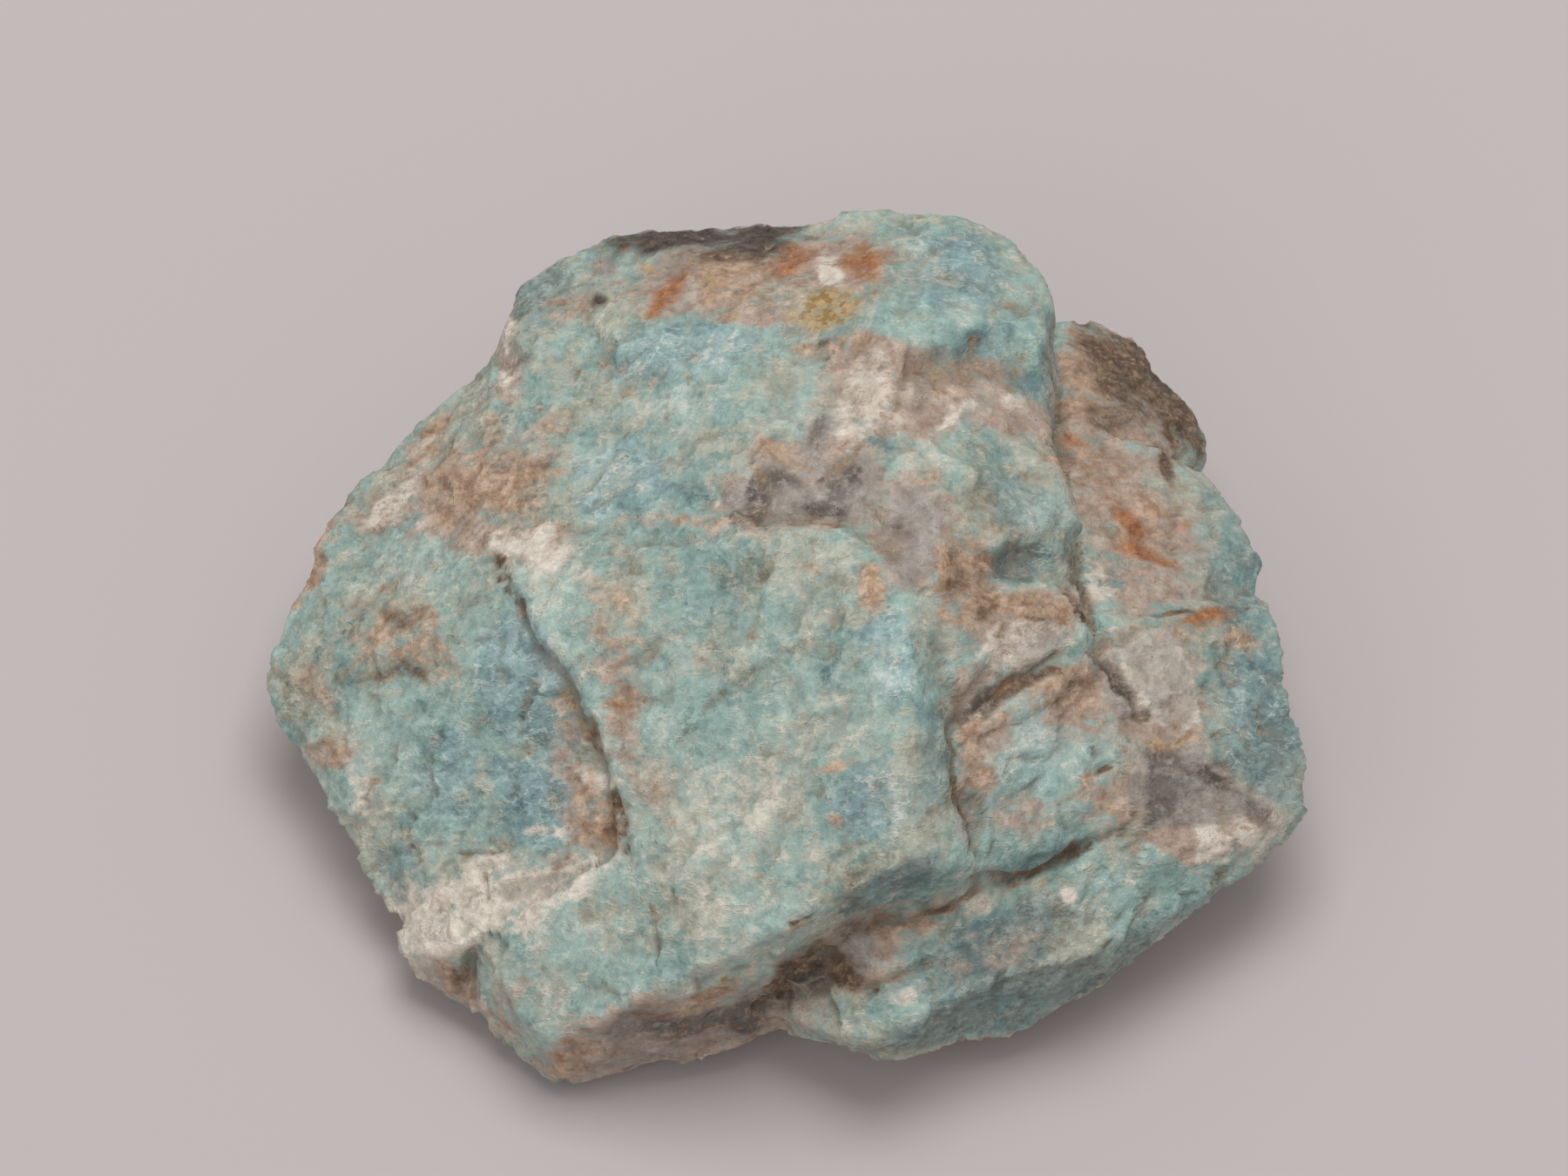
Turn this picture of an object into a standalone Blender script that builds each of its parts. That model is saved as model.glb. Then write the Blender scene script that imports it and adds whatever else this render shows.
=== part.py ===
"""Raw amazonite: one broken lump of blue-green feldspar, about 100 mm across.

The stone is a crowd of convex blocks that share corners, as cleaved feldspar breaks. Each
block runs from a cleavage face on the outside down to a waist and a foot under the stone.
The blocks are fused into one skin, which is roughened and cut flat where the stone rests.

Metres, +Z up. The origin is the middle of the stone's box, on the surface it rests on.
"""

import math

import bmesh
import bpy
from mathutils import Matrix, Vector

MM = 0.001

# The corners are drawn on a face plane that leans back by FACE_LEAN from the ground. Each is
# in mm: across to the right, up the face plane, and height above the foot of the stone.
FACE_LEAN = math.radians(60)
FACE_HEIGHT = 17.0

CORNERS = {
    "back_1": (-25.8, 31.7, 24), "back_2": (-25.2, 35.8, 25), "back_3": (-21.7, 38.3, 26),
    "back_4": (-17.5, 40.2, 27), "back_5": (-5.8, 41, 28), "back_6": (3.3, 42.5, 29.5),
    "back_7": (8.5, 43.3, 31), "back_8": (16.3, 43.1, 31), "back_9": (21.8, 40.8, 31),
    "back_10": (24.6, 37.3, 32), "back_11": (26, 33.5, 33),
    "knob_1": (26.3, 33.3, 19), "knob_2": (28.3, 33.1, 17.5), "knob_3": (33.3, 31.5, 15),
    "knob_4": (36.2, 27.1, 14), "knob_5": (39.7, 24, 12.5), "knob_6": (40.6, 21, 12),
    "knob_7": (40, 18.6, 12), "knob_8": (36, 19.5, 18), "knob_9": (32, 22.5, 20.5),
    "knob_10": (26.3, 23, 22),
    "wing_1": (40.5, 17, 16), "wing_2": (42.5, 14.6, 17), "wing_3": (45, 11, 17.5),
    "wing_4": (46.1, 8.5, 17.5), "wing_5": (45.8, 5.4, 17),
    "fan_1": (47.2, 4, 18), "fan_2": (47.2, 0, 17.5), "fan_3": (49, -5.8, 16),
    "fan_4": (50.2, -11, 15.5), "fan_5": (50.3, -15, 14.5), "fan_6": (48.5, -18, 12.5),
    "fan_7": (43, -21.5, 12.3),
    "sill_1": (40, -23.8, 11), "sill_2": (34.2, -28.3, 8.5), "sill_3": (27.5, -33.3, 6.5),
    "sill_4": (23.3, -36.7, 4.3), "sill_5": (17.5, -37.3, 4.5), "sill_6": (12, -38.8, 6.3),
    "sill_7": (8.6, -38.4, 8), "sill_8": (6, -37.3, 8.5), "sill_9": (2.5, -35.9, 8.5),
    "toe_1": (0, -36.7, 5), "toe_2": (-8.3, -40, 3), "toe_3": (-15, -41.5, 1.5),
    "toe_4": (-20.8, -41.7, 1), "toe_5": (-25, -38.2, 3), "toe_6": (-29.5, -34, 4),
    "heel_1": (-33, -32, 4), "heel_2": (-36.8, -29.3, 5.5), "heel_3": (-37, -26, 7),
    "flank_1": (-40, -20, 7.5), "flank_2": (-43, -15.8, 8.5), "flank_3": (-44.6, -11.2, 9.5),
    "flank_4": (-48.3, -7.5, 10.5),
    "cheek_1": (-49.4, -4.8, 11.5), "cheek_2": (-49.3, -1.5, 12.5), "cheek_3": (-46.8, 3, 14.5),
    "cheek_4": (-46.3, 5.5, 15), "cheek_5": (-44.3, 11.5, 17), "cheek_6": (-41.7, 15.8, 18),
    "shoulder_1": (-35, 21.3, 19), "shoulder_2": (-31, 24, 21), "shoulder_3": (-28.3, 28.3, 23.5),
    "plateau_1": (-28.5, 24, 26.5), "plateau_2": (-24, 28.8, 28.5), "plateau_3": (-14, 32.5, 32),
    "plateau_4": (-5, 32.8, 34.5), "plateau_5": (0.5, 31, 36), "plateau_6": (3.6, 27, 37.5),
    "plateau_7": (3.6, 23, 38.3), "plateau_8": (-1, 19.3, 38.2), "plateau_9": (-5, 14.3, 37.5),
    "plateau_10": (-9, 12.3, 36), "plateau_11": (-17, 11.5, 33), "plateau_12": (-24, 13.5, 30),
    "plateau_13": (-29, 19, 26.8),
    "saddle_1": (9, 38, 35), "saddle_2": (6, 33, 37),
    "lobe_1": (25.5, 29.8, 35.5), "lobe_2": (19, 31, 38.2), "lobe_3": (12.5, 31.8, 38.6),
    "terrace_1": (10, 27.5, 37.3), "terrace_2": (17, 27.3, 36), "terrace_3": (22, 27.3, 34.8),
    "terrace_4": (26, 26.5, 33.2), "terrace_5": (25.8, 20.5, 34), "terrace_6": (20, 20, 36.7),
    "terrace_7": (14, 20.3, 38.2), "terrace_8": (10, 22, 38.6), "terrace_9": (6, 20.5, 38.8),
    "brow_1": (8, 20.8, 39), "brow_2": (28, 14.5, 32.5), "brow_3": (27.5, 10.8, 32.3),
    "brow_4": (23, 11, 35), "brow_5": (19, 10, 36.8), "brow_6": (15.5, 10.5, 38.2),
    "brow_7": (15, 15, 38.8),
    "hollow_1": (15.5, 7.5, 34.8), "hollow_2": (19, 6.8, 33.2), "hollow_3": (24, 7.8, 31.2),
    "hollow_4": (27.5, 6.8, 29.8),
    "cream_1": (14.3, 4.5, 37.2), "cream_2": (19, 6, 35.2), "cream_3": (25, 6, 33.2),
    "cream_4": (28.3, 5, 31.5), "cream_5": (29.2, 2.5, 30.5), "cream_6": (26.8, 0.8, 31.3),
    "cream_7": (22, -1.5, 33), "cream_8": (16.5, -4, 34.4), "cream_9": (14, -4, 35.4),
    "trough_1": (-3, 16.8, 36.3), "trough_2": (-4.5, 12.6, 36.3), "trough_3": (2, 12.2, 37.5),
    "trough_4": (8, 11.5, 38.6), "trough_5": (12, 6.8, 39), "trough_6": (12, 18, 38.3),
    "shield_1": (-21.7, 9.5, 31.3), "shield_2": (-6, 10.8, 37.3), "shield_3": (-2, 12.6, 38.8),
    "shield_4": (4, 12.6, 40), "shield_5": (9, 9.5, 40.5), "shield_6": (11, 6, 40.2),
    "shield_7": (12, 0, 38.8), "shield_8": (11.7, -8, 36), "shield_9": (11, -16, 32.3),
    "shield_10": (7, -21.7, 28.3), "shield_11": (3.5, -24, 26.5), "shield_12": (-4, -28.3, 22),
    "shield_13": (-8, -31.3, 19), "shield_14": (-14, -34.3, 14.5), "shield_15": (-21.5, -37, 10.3),
    "shield_16": (-26, -32.5, 11.5), "shield_17": (-29, -28, 12.5), "shield_18": (-16, -19.5, 21.8),
    "shield_19": (-14.8, -15, 24.3), "shield_20": (-17, -10, 26.5), "shield_21": (-19, -5, 28),
    "shield_22": (-20.8, -1, 29), "shield_23": (-23.5, 3, 29.3), "shield_24": (-26, 8, 29.5),
    "shield_25": (0, -26, 24.8),
    "side_1": (10, -20.3, 29.6), "side_2": (14, -19.5, 28.5), "side_3": (18, -19.8, 26.5),
    "side_4": (16.8, -14, 30), "side_5": (16, -8, 33.3),
    "step_1": (-23.5, 3, 27.4), "step_2": (-20.8, -1, 27), "step_3": (-19, -5, 26),
    "step_4": (-17, -10, 24.6), "step_5": (-14.8, -15, 22.6), "step_6": (-16, -19.5, 20.2),
    "step_7": (-26, 8, 28.2),
    "left_1": (-30, 13, 25.5), "left_2": (-36, 15, 21.5), "left_3": (-30, 0, 24.4),
    "left_4": (-40, 0, 18.8), "left_5": (-43, -11, 12.8), "left_6": (-38.5, -16, 12.8),
    "left_7": (-34.5, -22.7, 11.5), "left_8": (-25, -20.5, 16.5),
    "albite_1": (-18, -24, 17.5), "albite_2": (-31, -29.3, 9.5), "albite_3": (-35, -29.3, 7.5),
    "albite_4": (-30, -30.5, 8),
    "cube_1": (16.5, -8.5, 31.8), "cube_2": (21, -5.7, 30), "cube_3": (25.5, -2.8, 28.3),
    "cube_4": (29.5, -2.5, 26.5), "cube_5": (31, -10, 24), "cube_6": (29.5, -15, 22.8),
    "cube_7": (27.3, -17.8, 22), "cube_8": (22, -19.8, 23.3), "cube_9": (18.3, -20.6, 24.6),
    "cube_10": (16.8, -14, 28.9),
    "ray_1": (29.5, 2.8, 27), "ray_2": (34, 4.2, 24.3), "ray_3": (41, 4.6, 20.8),
    "ray_4": (31, -16.5, 21.5), "ray_5": (31, -10, 24), "ray_6": (30.3, -3.5, 26),
    "ray_7": (38, -18.3, 18.3),
    "drop_1": (28.3, 14.5, 23), "drop_2": (27.8, 7.5, 24.8), "drop_3": (29.5, 4.2, 25.8),
    "drop_4": (34, 5, 23.3), "drop_5": (41, 5.2, 19.8),
    "shelf_1": (6, -26.5, 19.5), "shelf_2": (10, -25.3, 19.8), "shelf_3": (14, -24.2, 20),
    "shelf_4": (19, -22.3, 20), "shelf_5": (24, -21.5, 19.3), "shelf_6": (28, -18.8, 19.8),
    "shelf_7": (32, -17, 20.5),
    "lip_1": (40, -22.8, 13.3), "lip_2": (36, -25, 13.8), "lip_3": (31, -28, 13.8),
    "lip_4": (27, -29.5, 14.6), "lip_5": (21, -31, 15.2), "lip_6": (17.5, -31.7, 15.3),
    "lip_7": (15, -32.8, 15.2), "lip_8": (12, -35, 14.3), "lip_9": (8, -36.7, 12.5),
    "lip_10": (3.5, -31, 13.5), "lip_11": (-1.5, -34.3, 9.5),
}

# The outer corners of each block's cleavage face, in any order.
BLOCKS = {
    "plateau": (
        "plateau_1 plateau_2 plateau_3 plateau_4 plateau_5 plateau_6 plateau_7 plateau_8 "
        "plateau_9 plateau_10 plateau_11 plateau_12 plateau_13"
    ),
    "back_slope_left": "shoulder_3 back_1 back_2 back_3 back_4 plateau_3 plateau_2 plateau_1",
    "back_slope_middle": "back_4 back_5 back_6 saddle_1 saddle_2 plateau_5 plateau_4 plateau_3",
    "back_slope_right": "back_6 back_7 saddle_1",
    "lobe": "back_7 back_8 back_9 back_10 back_11 lobe_1 lobe_2 lobe_3 saddle_2 saddle_1",
    "lobe_front": "lobe_1 lobe_2 lobe_3 terrace_1 terrace_2 terrace_3 terrace_4",
    "saddle_ramp": "plateau_5 saddle_2 lobe_3 terrace_1 terrace_8 terrace_9 plateau_7 plateau_6",
    "terrace": "terrace_1 terrace_2 terrace_3 terrace_4 terrace_5 terrace_6 terrace_7 terrace_8",
    "quartz_trough": (
        "plateau_7 terrace_9 brow_1 trough_6 brow_7 brow_6 trough_5 trough_4 "
        "trough_3 trough_2 trough_1 plateau_8"
    ),
    "trough_wall": "plateau_8 trough_1 trough_2 plateau_9",
    "trough_end": "plateau_9 trough_2 shield_3 shield_2 plateau_10",
    "brow": (
        "brow_1 terrace_8 terrace_7 terrace_6 terrace_5 brow_2 brow_3 brow_4 brow_5 brow_6 "
        "brow_7 trough_6"
    ),
    "hollow_wall": "brow_6 brow_5 brow_4 brow_3 hollow_4 hollow_3 hollow_2 hollow_1",
    "hollow_floor": (
        "hollow_1 hollow_2 hollow_3 hollow_4 cream_4 cream_3 cream_2 cream_1 trough_5 "
        "brow_6"
    ),
    "cream_face": "cream_1 cream_2 cream_3 cream_4 cream_5 cream_6 cream_7 cream_8 cream_9",
    "shield_top": (
        "shield_24 shield_1 shield_2 shield_3 shield_4 shield_5 shield_6 shield_7 "
        "shield_22 shield_23"
    ),
    "shield_middle": "shield_22 shield_7 shield_8 shield_20 shield_21",
    "shield_lower": "shield_20 shield_8 shield_9 shield_10 shield_11 shield_18 shield_19",
    "shield_foot": (
        "shield_18 shield_11 shield_25 shield_12 shield_13 shield_14 shield_15 "
        "shield_16 shield_17"
    ),
    "shield_side": "shield_6 trough_5 cream_1 cream_9 cream_8 side_5 shield_8 shield_7",
    "shield_side_lower": "shield_8 side_5 side_4 side_3 side_2 side_1 shield_10 shield_9",
    "shield_rim": "shield_3 trough_3 trough_4 trough_5 shield_6 shield_5 shield_4",
    "shield_back": "plateau_12 plateau_11 plateau_10 shield_2 shield_1 shield_24",
    "left_face_upper": (
        "cheek_4 cheek_5 cheek_6 left_2 left_1 step_7 step_1 left_3 left_4 cheek_2 "
        "cheek_3"
    ),
    "left_face_lower": (
        "cheek_2 left_4 left_3 step_1 step_2 step_3 step_4 step_5 step_6 left_8 "
        "left_7 left_6 left_5 cheek_1"
    ),
    "shoulder": (
        "shoulder_3 plateau_1 plateau_13 plateau_12 left_1 left_2 cheek_6 shoulder_1 "
        "shoulder_2"
    ),
    "shoulder_end": "plateau_12 shield_24 left_1 plateau_11 shield_1",
    "flank": "cheek_1 left_5 left_6 left_7 heel_3 flank_1 flank_2 flank_3 flank_4",
    "albite_corner": "left_7 left_8 step_6 albite_1 shield_17 albite_2 albite_3 heel_2 heel_3",
    "albite_seam": "step_6 albite_1 shield_17 shield_18",
    "toe_side": "shield_17 shield_16 shield_15 toe_4 toe_5 toe_6 albite_4",
    "heel_hollow": "albite_2 albite_3 heel_2 heel_1 toe_6 albite_4 shield_17",
    "front_wall_toe": "shield_15 shield_14 shield_13 toe_2 toe_3 toe_4",
    "front_wall_left": "shield_13 shield_12 shield_25 toe_1 toe_2 lip_11",
    "front_wall_middle": "shield_25 shield_11 shield_10 shelf_1 lip_10 lip_11",
    "front_wall_right": "shield_10 side_1 side_2 side_3 cube_9 shelf_4 shelf_3 shelf_2 shelf_1",
    "cube_front": "cube_9 cube_8 cube_7 shelf_6 shelf_5 shelf_4",
    "cube_front_end": "cube_7 cube_6 ray_4 shelf_7 shelf_6",
    "cube": "cube_1 cube_2 cube_3 cube_4 cube_5 cube_6 cube_7 cube_8 cube_9 cube_10",
    "cube_seam": "side_5 cube_1 cube_10 side_4",
    "cube_seam_lower": "side_4 cube_10 cube_9 side_3",
    "groove_wall": "cream_8 cream_7 cream_6 cream_5 cube_4 cube_3 cube_2 cube_1 side_5",
    "knob": "knob_1 knob_2 knob_3 knob_4 knob_5 knob_6 knob_7 knob_8 knob_9 knob_10",
    "wing": (
        "knob_10 knob_9 knob_8 wing_1 wing_2 wing_3 wing_4 wing_5 drop_5 drop_4 drop_3 drop_2 "
        "drop_1"
    ),
    "wing_groove": "drop_3 drop_4 drop_5 wing_5 fan_1 ray_3 ray_2 ray_1",
    "fan": "ray_1 ray_2 ray_3 fan_1 fan_2 fan_3 fan_4 fan_5 fan_6 fan_7 ray_7 ray_4 ray_5 ray_6",
    "fan_seam": "cream_5 ray_1 ray_6 cube_4",
    "cube_end": "cube_4 ray_6 ray_5 cube_5 ray_4 cube_6",
    "shelf": (
        "shelf_1 shelf_2 shelf_3 shelf_4 shelf_5 shelf_6 shelf_7 ray_7 fan_7 lip_1 lip_2 "
        "lip_3 lip_4 lip_5 lip_6 lip_7 lip_8 lip_9 lip_10"
    ),
    "shelf_back": "shelf_7 ray_4 ray_7",
    "lip_left": "lip_9 lip_8 lip_7 lip_6 sill_5 sill_6 sill_7 sill_8",
    "lip_middle": "lip_6 lip_5 lip_4 lip_3 sill_2 sill_3 sill_4 sill_5",
    "lip_right": "lip_3 lip_2 lip_1 fan_7 sill_1 sill_2",
    "shelf_end": "lip_9 lip_10 lip_11 toe_1 sill_9 sill_8",
}

# Below each corner a block narrows in three steps: a waist, a sole and a foot that is cut off
# at the ground. Reaches are shares of the corner's distance from the middle of the stone, and
# heights are shares of the corner's height. The front is undercut more than the back.
WAIST_HEIGHT = 0.4
WAIST_REACH = 0.91
WAIST_BACK_GAIN = 0.07
SOLE_HEIGHT = 0.1
SOLE_REACH = 0.72
FOOT_DEPTH = 4.0
FOOT_REACH = 0.4
HALF_DEPTH = 40.0
HEART_REACH = 0.7
HEART_HEIGHT = 12.0

# The skin over the blocks, all in mm apart from the number of triangles.
SKIN_VOXEL = 0.6
SKIN_TRIANGLES = 10000
SWELL_SIZE = 8.0
SWELL_DEPTH = 0.7
LUMP_SIZE = 3.0
LUMP_DEPTH = 0.5

STONE_COLOUR = (0.25, 0.43, 0.4, 1)
STONE_ROUGHNESS = 0.6


def clear_scene():
    """Remove every object, so that the stone stands alone."""
    for old in list(bpy.data.objects):
        bpy.data.objects.remove(old, do_unlink=True)


def corner_place(name):
    """World place of a corner, in mm, from its place on the face plane and its height."""
    across, up, height = CORNERS[name]
    back = (up - (height - FACE_HEIGHT) * math.cos(FACE_LEAN)) / math.sin(FACE_LEAN)
    return Vector((across, back, height))


def underside(corner):
    """The waist, sole and foot under a corner: three points that curl in below the stone."""
    waist_reach = WAIST_REACH + WAIST_BACK_GAIN * corner.y / HALF_DEPTH
    return [
        Vector((corner.x * waist_reach, corner.y * waist_reach, corner.z * WAIST_HEIGHT)),
        Vector((corner.x * SOLE_REACH, corner.y * SOLE_REACH, corner.z * SOLE_HEIGHT)),
        Vector((corner.x * FOOT_REACH, corner.y * FOOT_REACH, -FOOT_DEPTH)),
    ]


def add_hull(blocks, points):
    """Add to a mesh the convex hull of some points given in mm."""
    verts = [blocks.verts.new(point * MM) for point in points]
    hull = bmesh.ops.convex_hull(blocks, input=verts)
    inside = {item for item in hull["geom_interior"] if isinstance(item, bmesh.types.BMVert)}
    bmesh.ops.delete(blocks, geom=list(inside), context="VERTS")


def add_block(blocks, corner_names):
    """Add to a mesh the convex block under one cleavage face."""
    points = [corner_place(name) for name in corner_names.split()]
    for corner in list(points):
        points += underside(corner)
    add_hull(blocks, points)


def add_heart(blocks):
    """Add the block in the middle of the stone, which closes the chinks between the others."""
    middle = Vector((0, 0, HEART_HEIGHT))
    points = [middle.lerp(corner_place(name), HEART_REACH) for name in CORNERS]
    for point in list(points):
        points += underside(point)
    add_hull(blocks, points)


def block_pile():
    """Object that holds all the blocks, still separate and overlapping."""
    blocks = bmesh.new()
    for corner_names in BLOCKS.values():
        add_block(blocks, corner_names)
    add_heart(blocks)
    bmesh.ops.recalc_face_normals(blocks, faces=blocks.faces)
    mesh = bpy.data.meshes.new("block_pile")
    blocks.to_mesh(mesh)
    blocks.free()
    pile = bpy.data.objects.new("block_pile", mesh)
    bpy.context.scene.collection.objects.link(pile)
    return pile


def add_lumps(stone, name, size, depth):
    """Push the skin in and out by a cloudy pattern of the given size, in mm."""
    pattern = bpy.data.textures.new(name, "CLOUDS")
    pattern.noise_scale = size * MM
    pattern.noise_depth = 1
    lumps = stone.modifiers.new(name, "DISPLACE")
    lumps.texture = pattern
    lumps.texture_coords = "LOCAL"
    lumps.mid_level = 0.5
    lumps.strength = 2 * depth * MM


def evaluated_mesh(thing):
    """A new mesh of the object with its modifiers applied."""
    graph = bpy.context.evaluated_depsgraph_get()
    return bpy.data.meshes.new_from_object(thing.evaluated_get(graph))


def fuse_skin(pile):
    """Fuse the blocks into one skin, roughen it and thin out its triangles."""
    skin = pile.modifiers.new("skin", "REMESH")
    skin.mode = "VOXEL"
    skin.voxel_size = SKIN_VOXEL * MM
    add_lumps(pile, "swells", SWELL_SIZE, SWELL_DEPTH)
    add_lumps(pile, "lumps", LUMP_SIZE, LUMP_DEPTH)
    quads = len(evaluated_mesh(pile).polygons)
    thin = pile.modifiers.new("thin", "DECIMATE")
    thin.ratio = SKIN_TRIANGLES / (2 * quads)
    return evaluated_mesh(pile)


def cut_base(mesh):
    """Cut the stone flat at the ground, and close the cut."""
    stone = bmesh.new()
    stone.from_mesh(mesh)
    cut = bmesh.ops.bisect_plane(
        stone,
        geom=stone.verts[:] + stone.edges[:] + stone.faces[:],
        plane_co=(0, 0, 0),
        plane_no=(0, 0, 1),
        clear_inner=True,
    )
    rim = [item for item in cut["geom_cut"] if isinstance(item, bmesh.types.BMEdge)]
    bmesh.ops.contextual_create(stone, geom=rim)
    bmesh.ops.recalc_face_normals(stone, faces=stone.faces)
    stone.to_mesh(mesh)
    stone.free()


def centre_on_ground(mesh):
    """Move the mesh so that its box stands on the ground with its middle at the origin."""
    low = [min(v.co[axis] for v in mesh.vertices) for axis in range(3)]
    high = [max(v.co[axis] for v in mesh.vertices) for axis in range(3)]
    mesh.transform(Matrix.Translation((-(low[0] + high[0]) / 2, -(low[1] + high[1]) / 2, -low[2])))


def stone_material():
    """Sugary blue-green feldspar, neither polished nor metallic."""
    material = bpy.data.materials.new("amazonite")
    material.use_nodes = True
    shader = material.node_tree.nodes["Principled BSDF"]
    shader.inputs["Base Color"].default_value = STONE_COLOUR
    shader.inputs["Roughness"].default_value = STONE_ROUGHNESS
    shader.inputs["Metallic"].default_value = 0
    return material


clear_scene()
pile = block_pile()
mesh = fuse_skin(pile)
bpy.data.objects.remove(pile, do_unlink=True)
cut_base(mesh)
centre_on_ground(mesh)
mesh.name = "amazonite"
mesh.materials.clear()
mesh.materials.append(stone_material())
stone = bpy.data.objects.new("amazonite", mesh)
raw_amazonite = bpy.data.collections.new("raw_amazonite")
bpy.context.scene.collection.children.link(raw_amazonite)
raw_amazonite.objects.link(stone)
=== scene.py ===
import math

import bmesh
import bpy
import numpy as np
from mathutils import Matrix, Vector


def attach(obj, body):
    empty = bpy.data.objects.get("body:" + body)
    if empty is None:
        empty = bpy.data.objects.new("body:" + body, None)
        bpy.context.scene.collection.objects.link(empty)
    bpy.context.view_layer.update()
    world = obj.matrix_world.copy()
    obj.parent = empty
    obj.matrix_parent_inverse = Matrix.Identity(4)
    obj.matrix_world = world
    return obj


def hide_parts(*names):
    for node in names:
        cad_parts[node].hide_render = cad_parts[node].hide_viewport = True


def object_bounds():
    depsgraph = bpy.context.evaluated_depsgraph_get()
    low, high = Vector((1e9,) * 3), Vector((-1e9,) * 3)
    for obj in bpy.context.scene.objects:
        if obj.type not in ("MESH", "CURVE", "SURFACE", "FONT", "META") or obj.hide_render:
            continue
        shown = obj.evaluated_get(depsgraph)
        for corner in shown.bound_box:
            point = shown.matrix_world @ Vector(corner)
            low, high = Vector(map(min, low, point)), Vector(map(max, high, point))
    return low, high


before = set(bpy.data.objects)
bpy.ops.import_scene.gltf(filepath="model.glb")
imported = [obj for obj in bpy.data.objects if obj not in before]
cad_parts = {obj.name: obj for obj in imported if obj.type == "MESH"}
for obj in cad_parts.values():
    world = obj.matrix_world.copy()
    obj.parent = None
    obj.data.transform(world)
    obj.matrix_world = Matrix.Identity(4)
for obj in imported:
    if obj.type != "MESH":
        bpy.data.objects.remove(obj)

cad_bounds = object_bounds()
MM = 0.001


# ---------------------------------------------------------------------------------------------
# The stone's blocks. Amazonite is a feldspar: it splits along two cleavages nearly at right
# angles, so a lump broken from its vein is a crowd of convex blocks that share corners. It is
# left as it broke, uncut and unpolished, and lies on its flattest side.

FACE_LEAN = math.radians(60)
FACE_HEIGHT = 17.0

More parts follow.
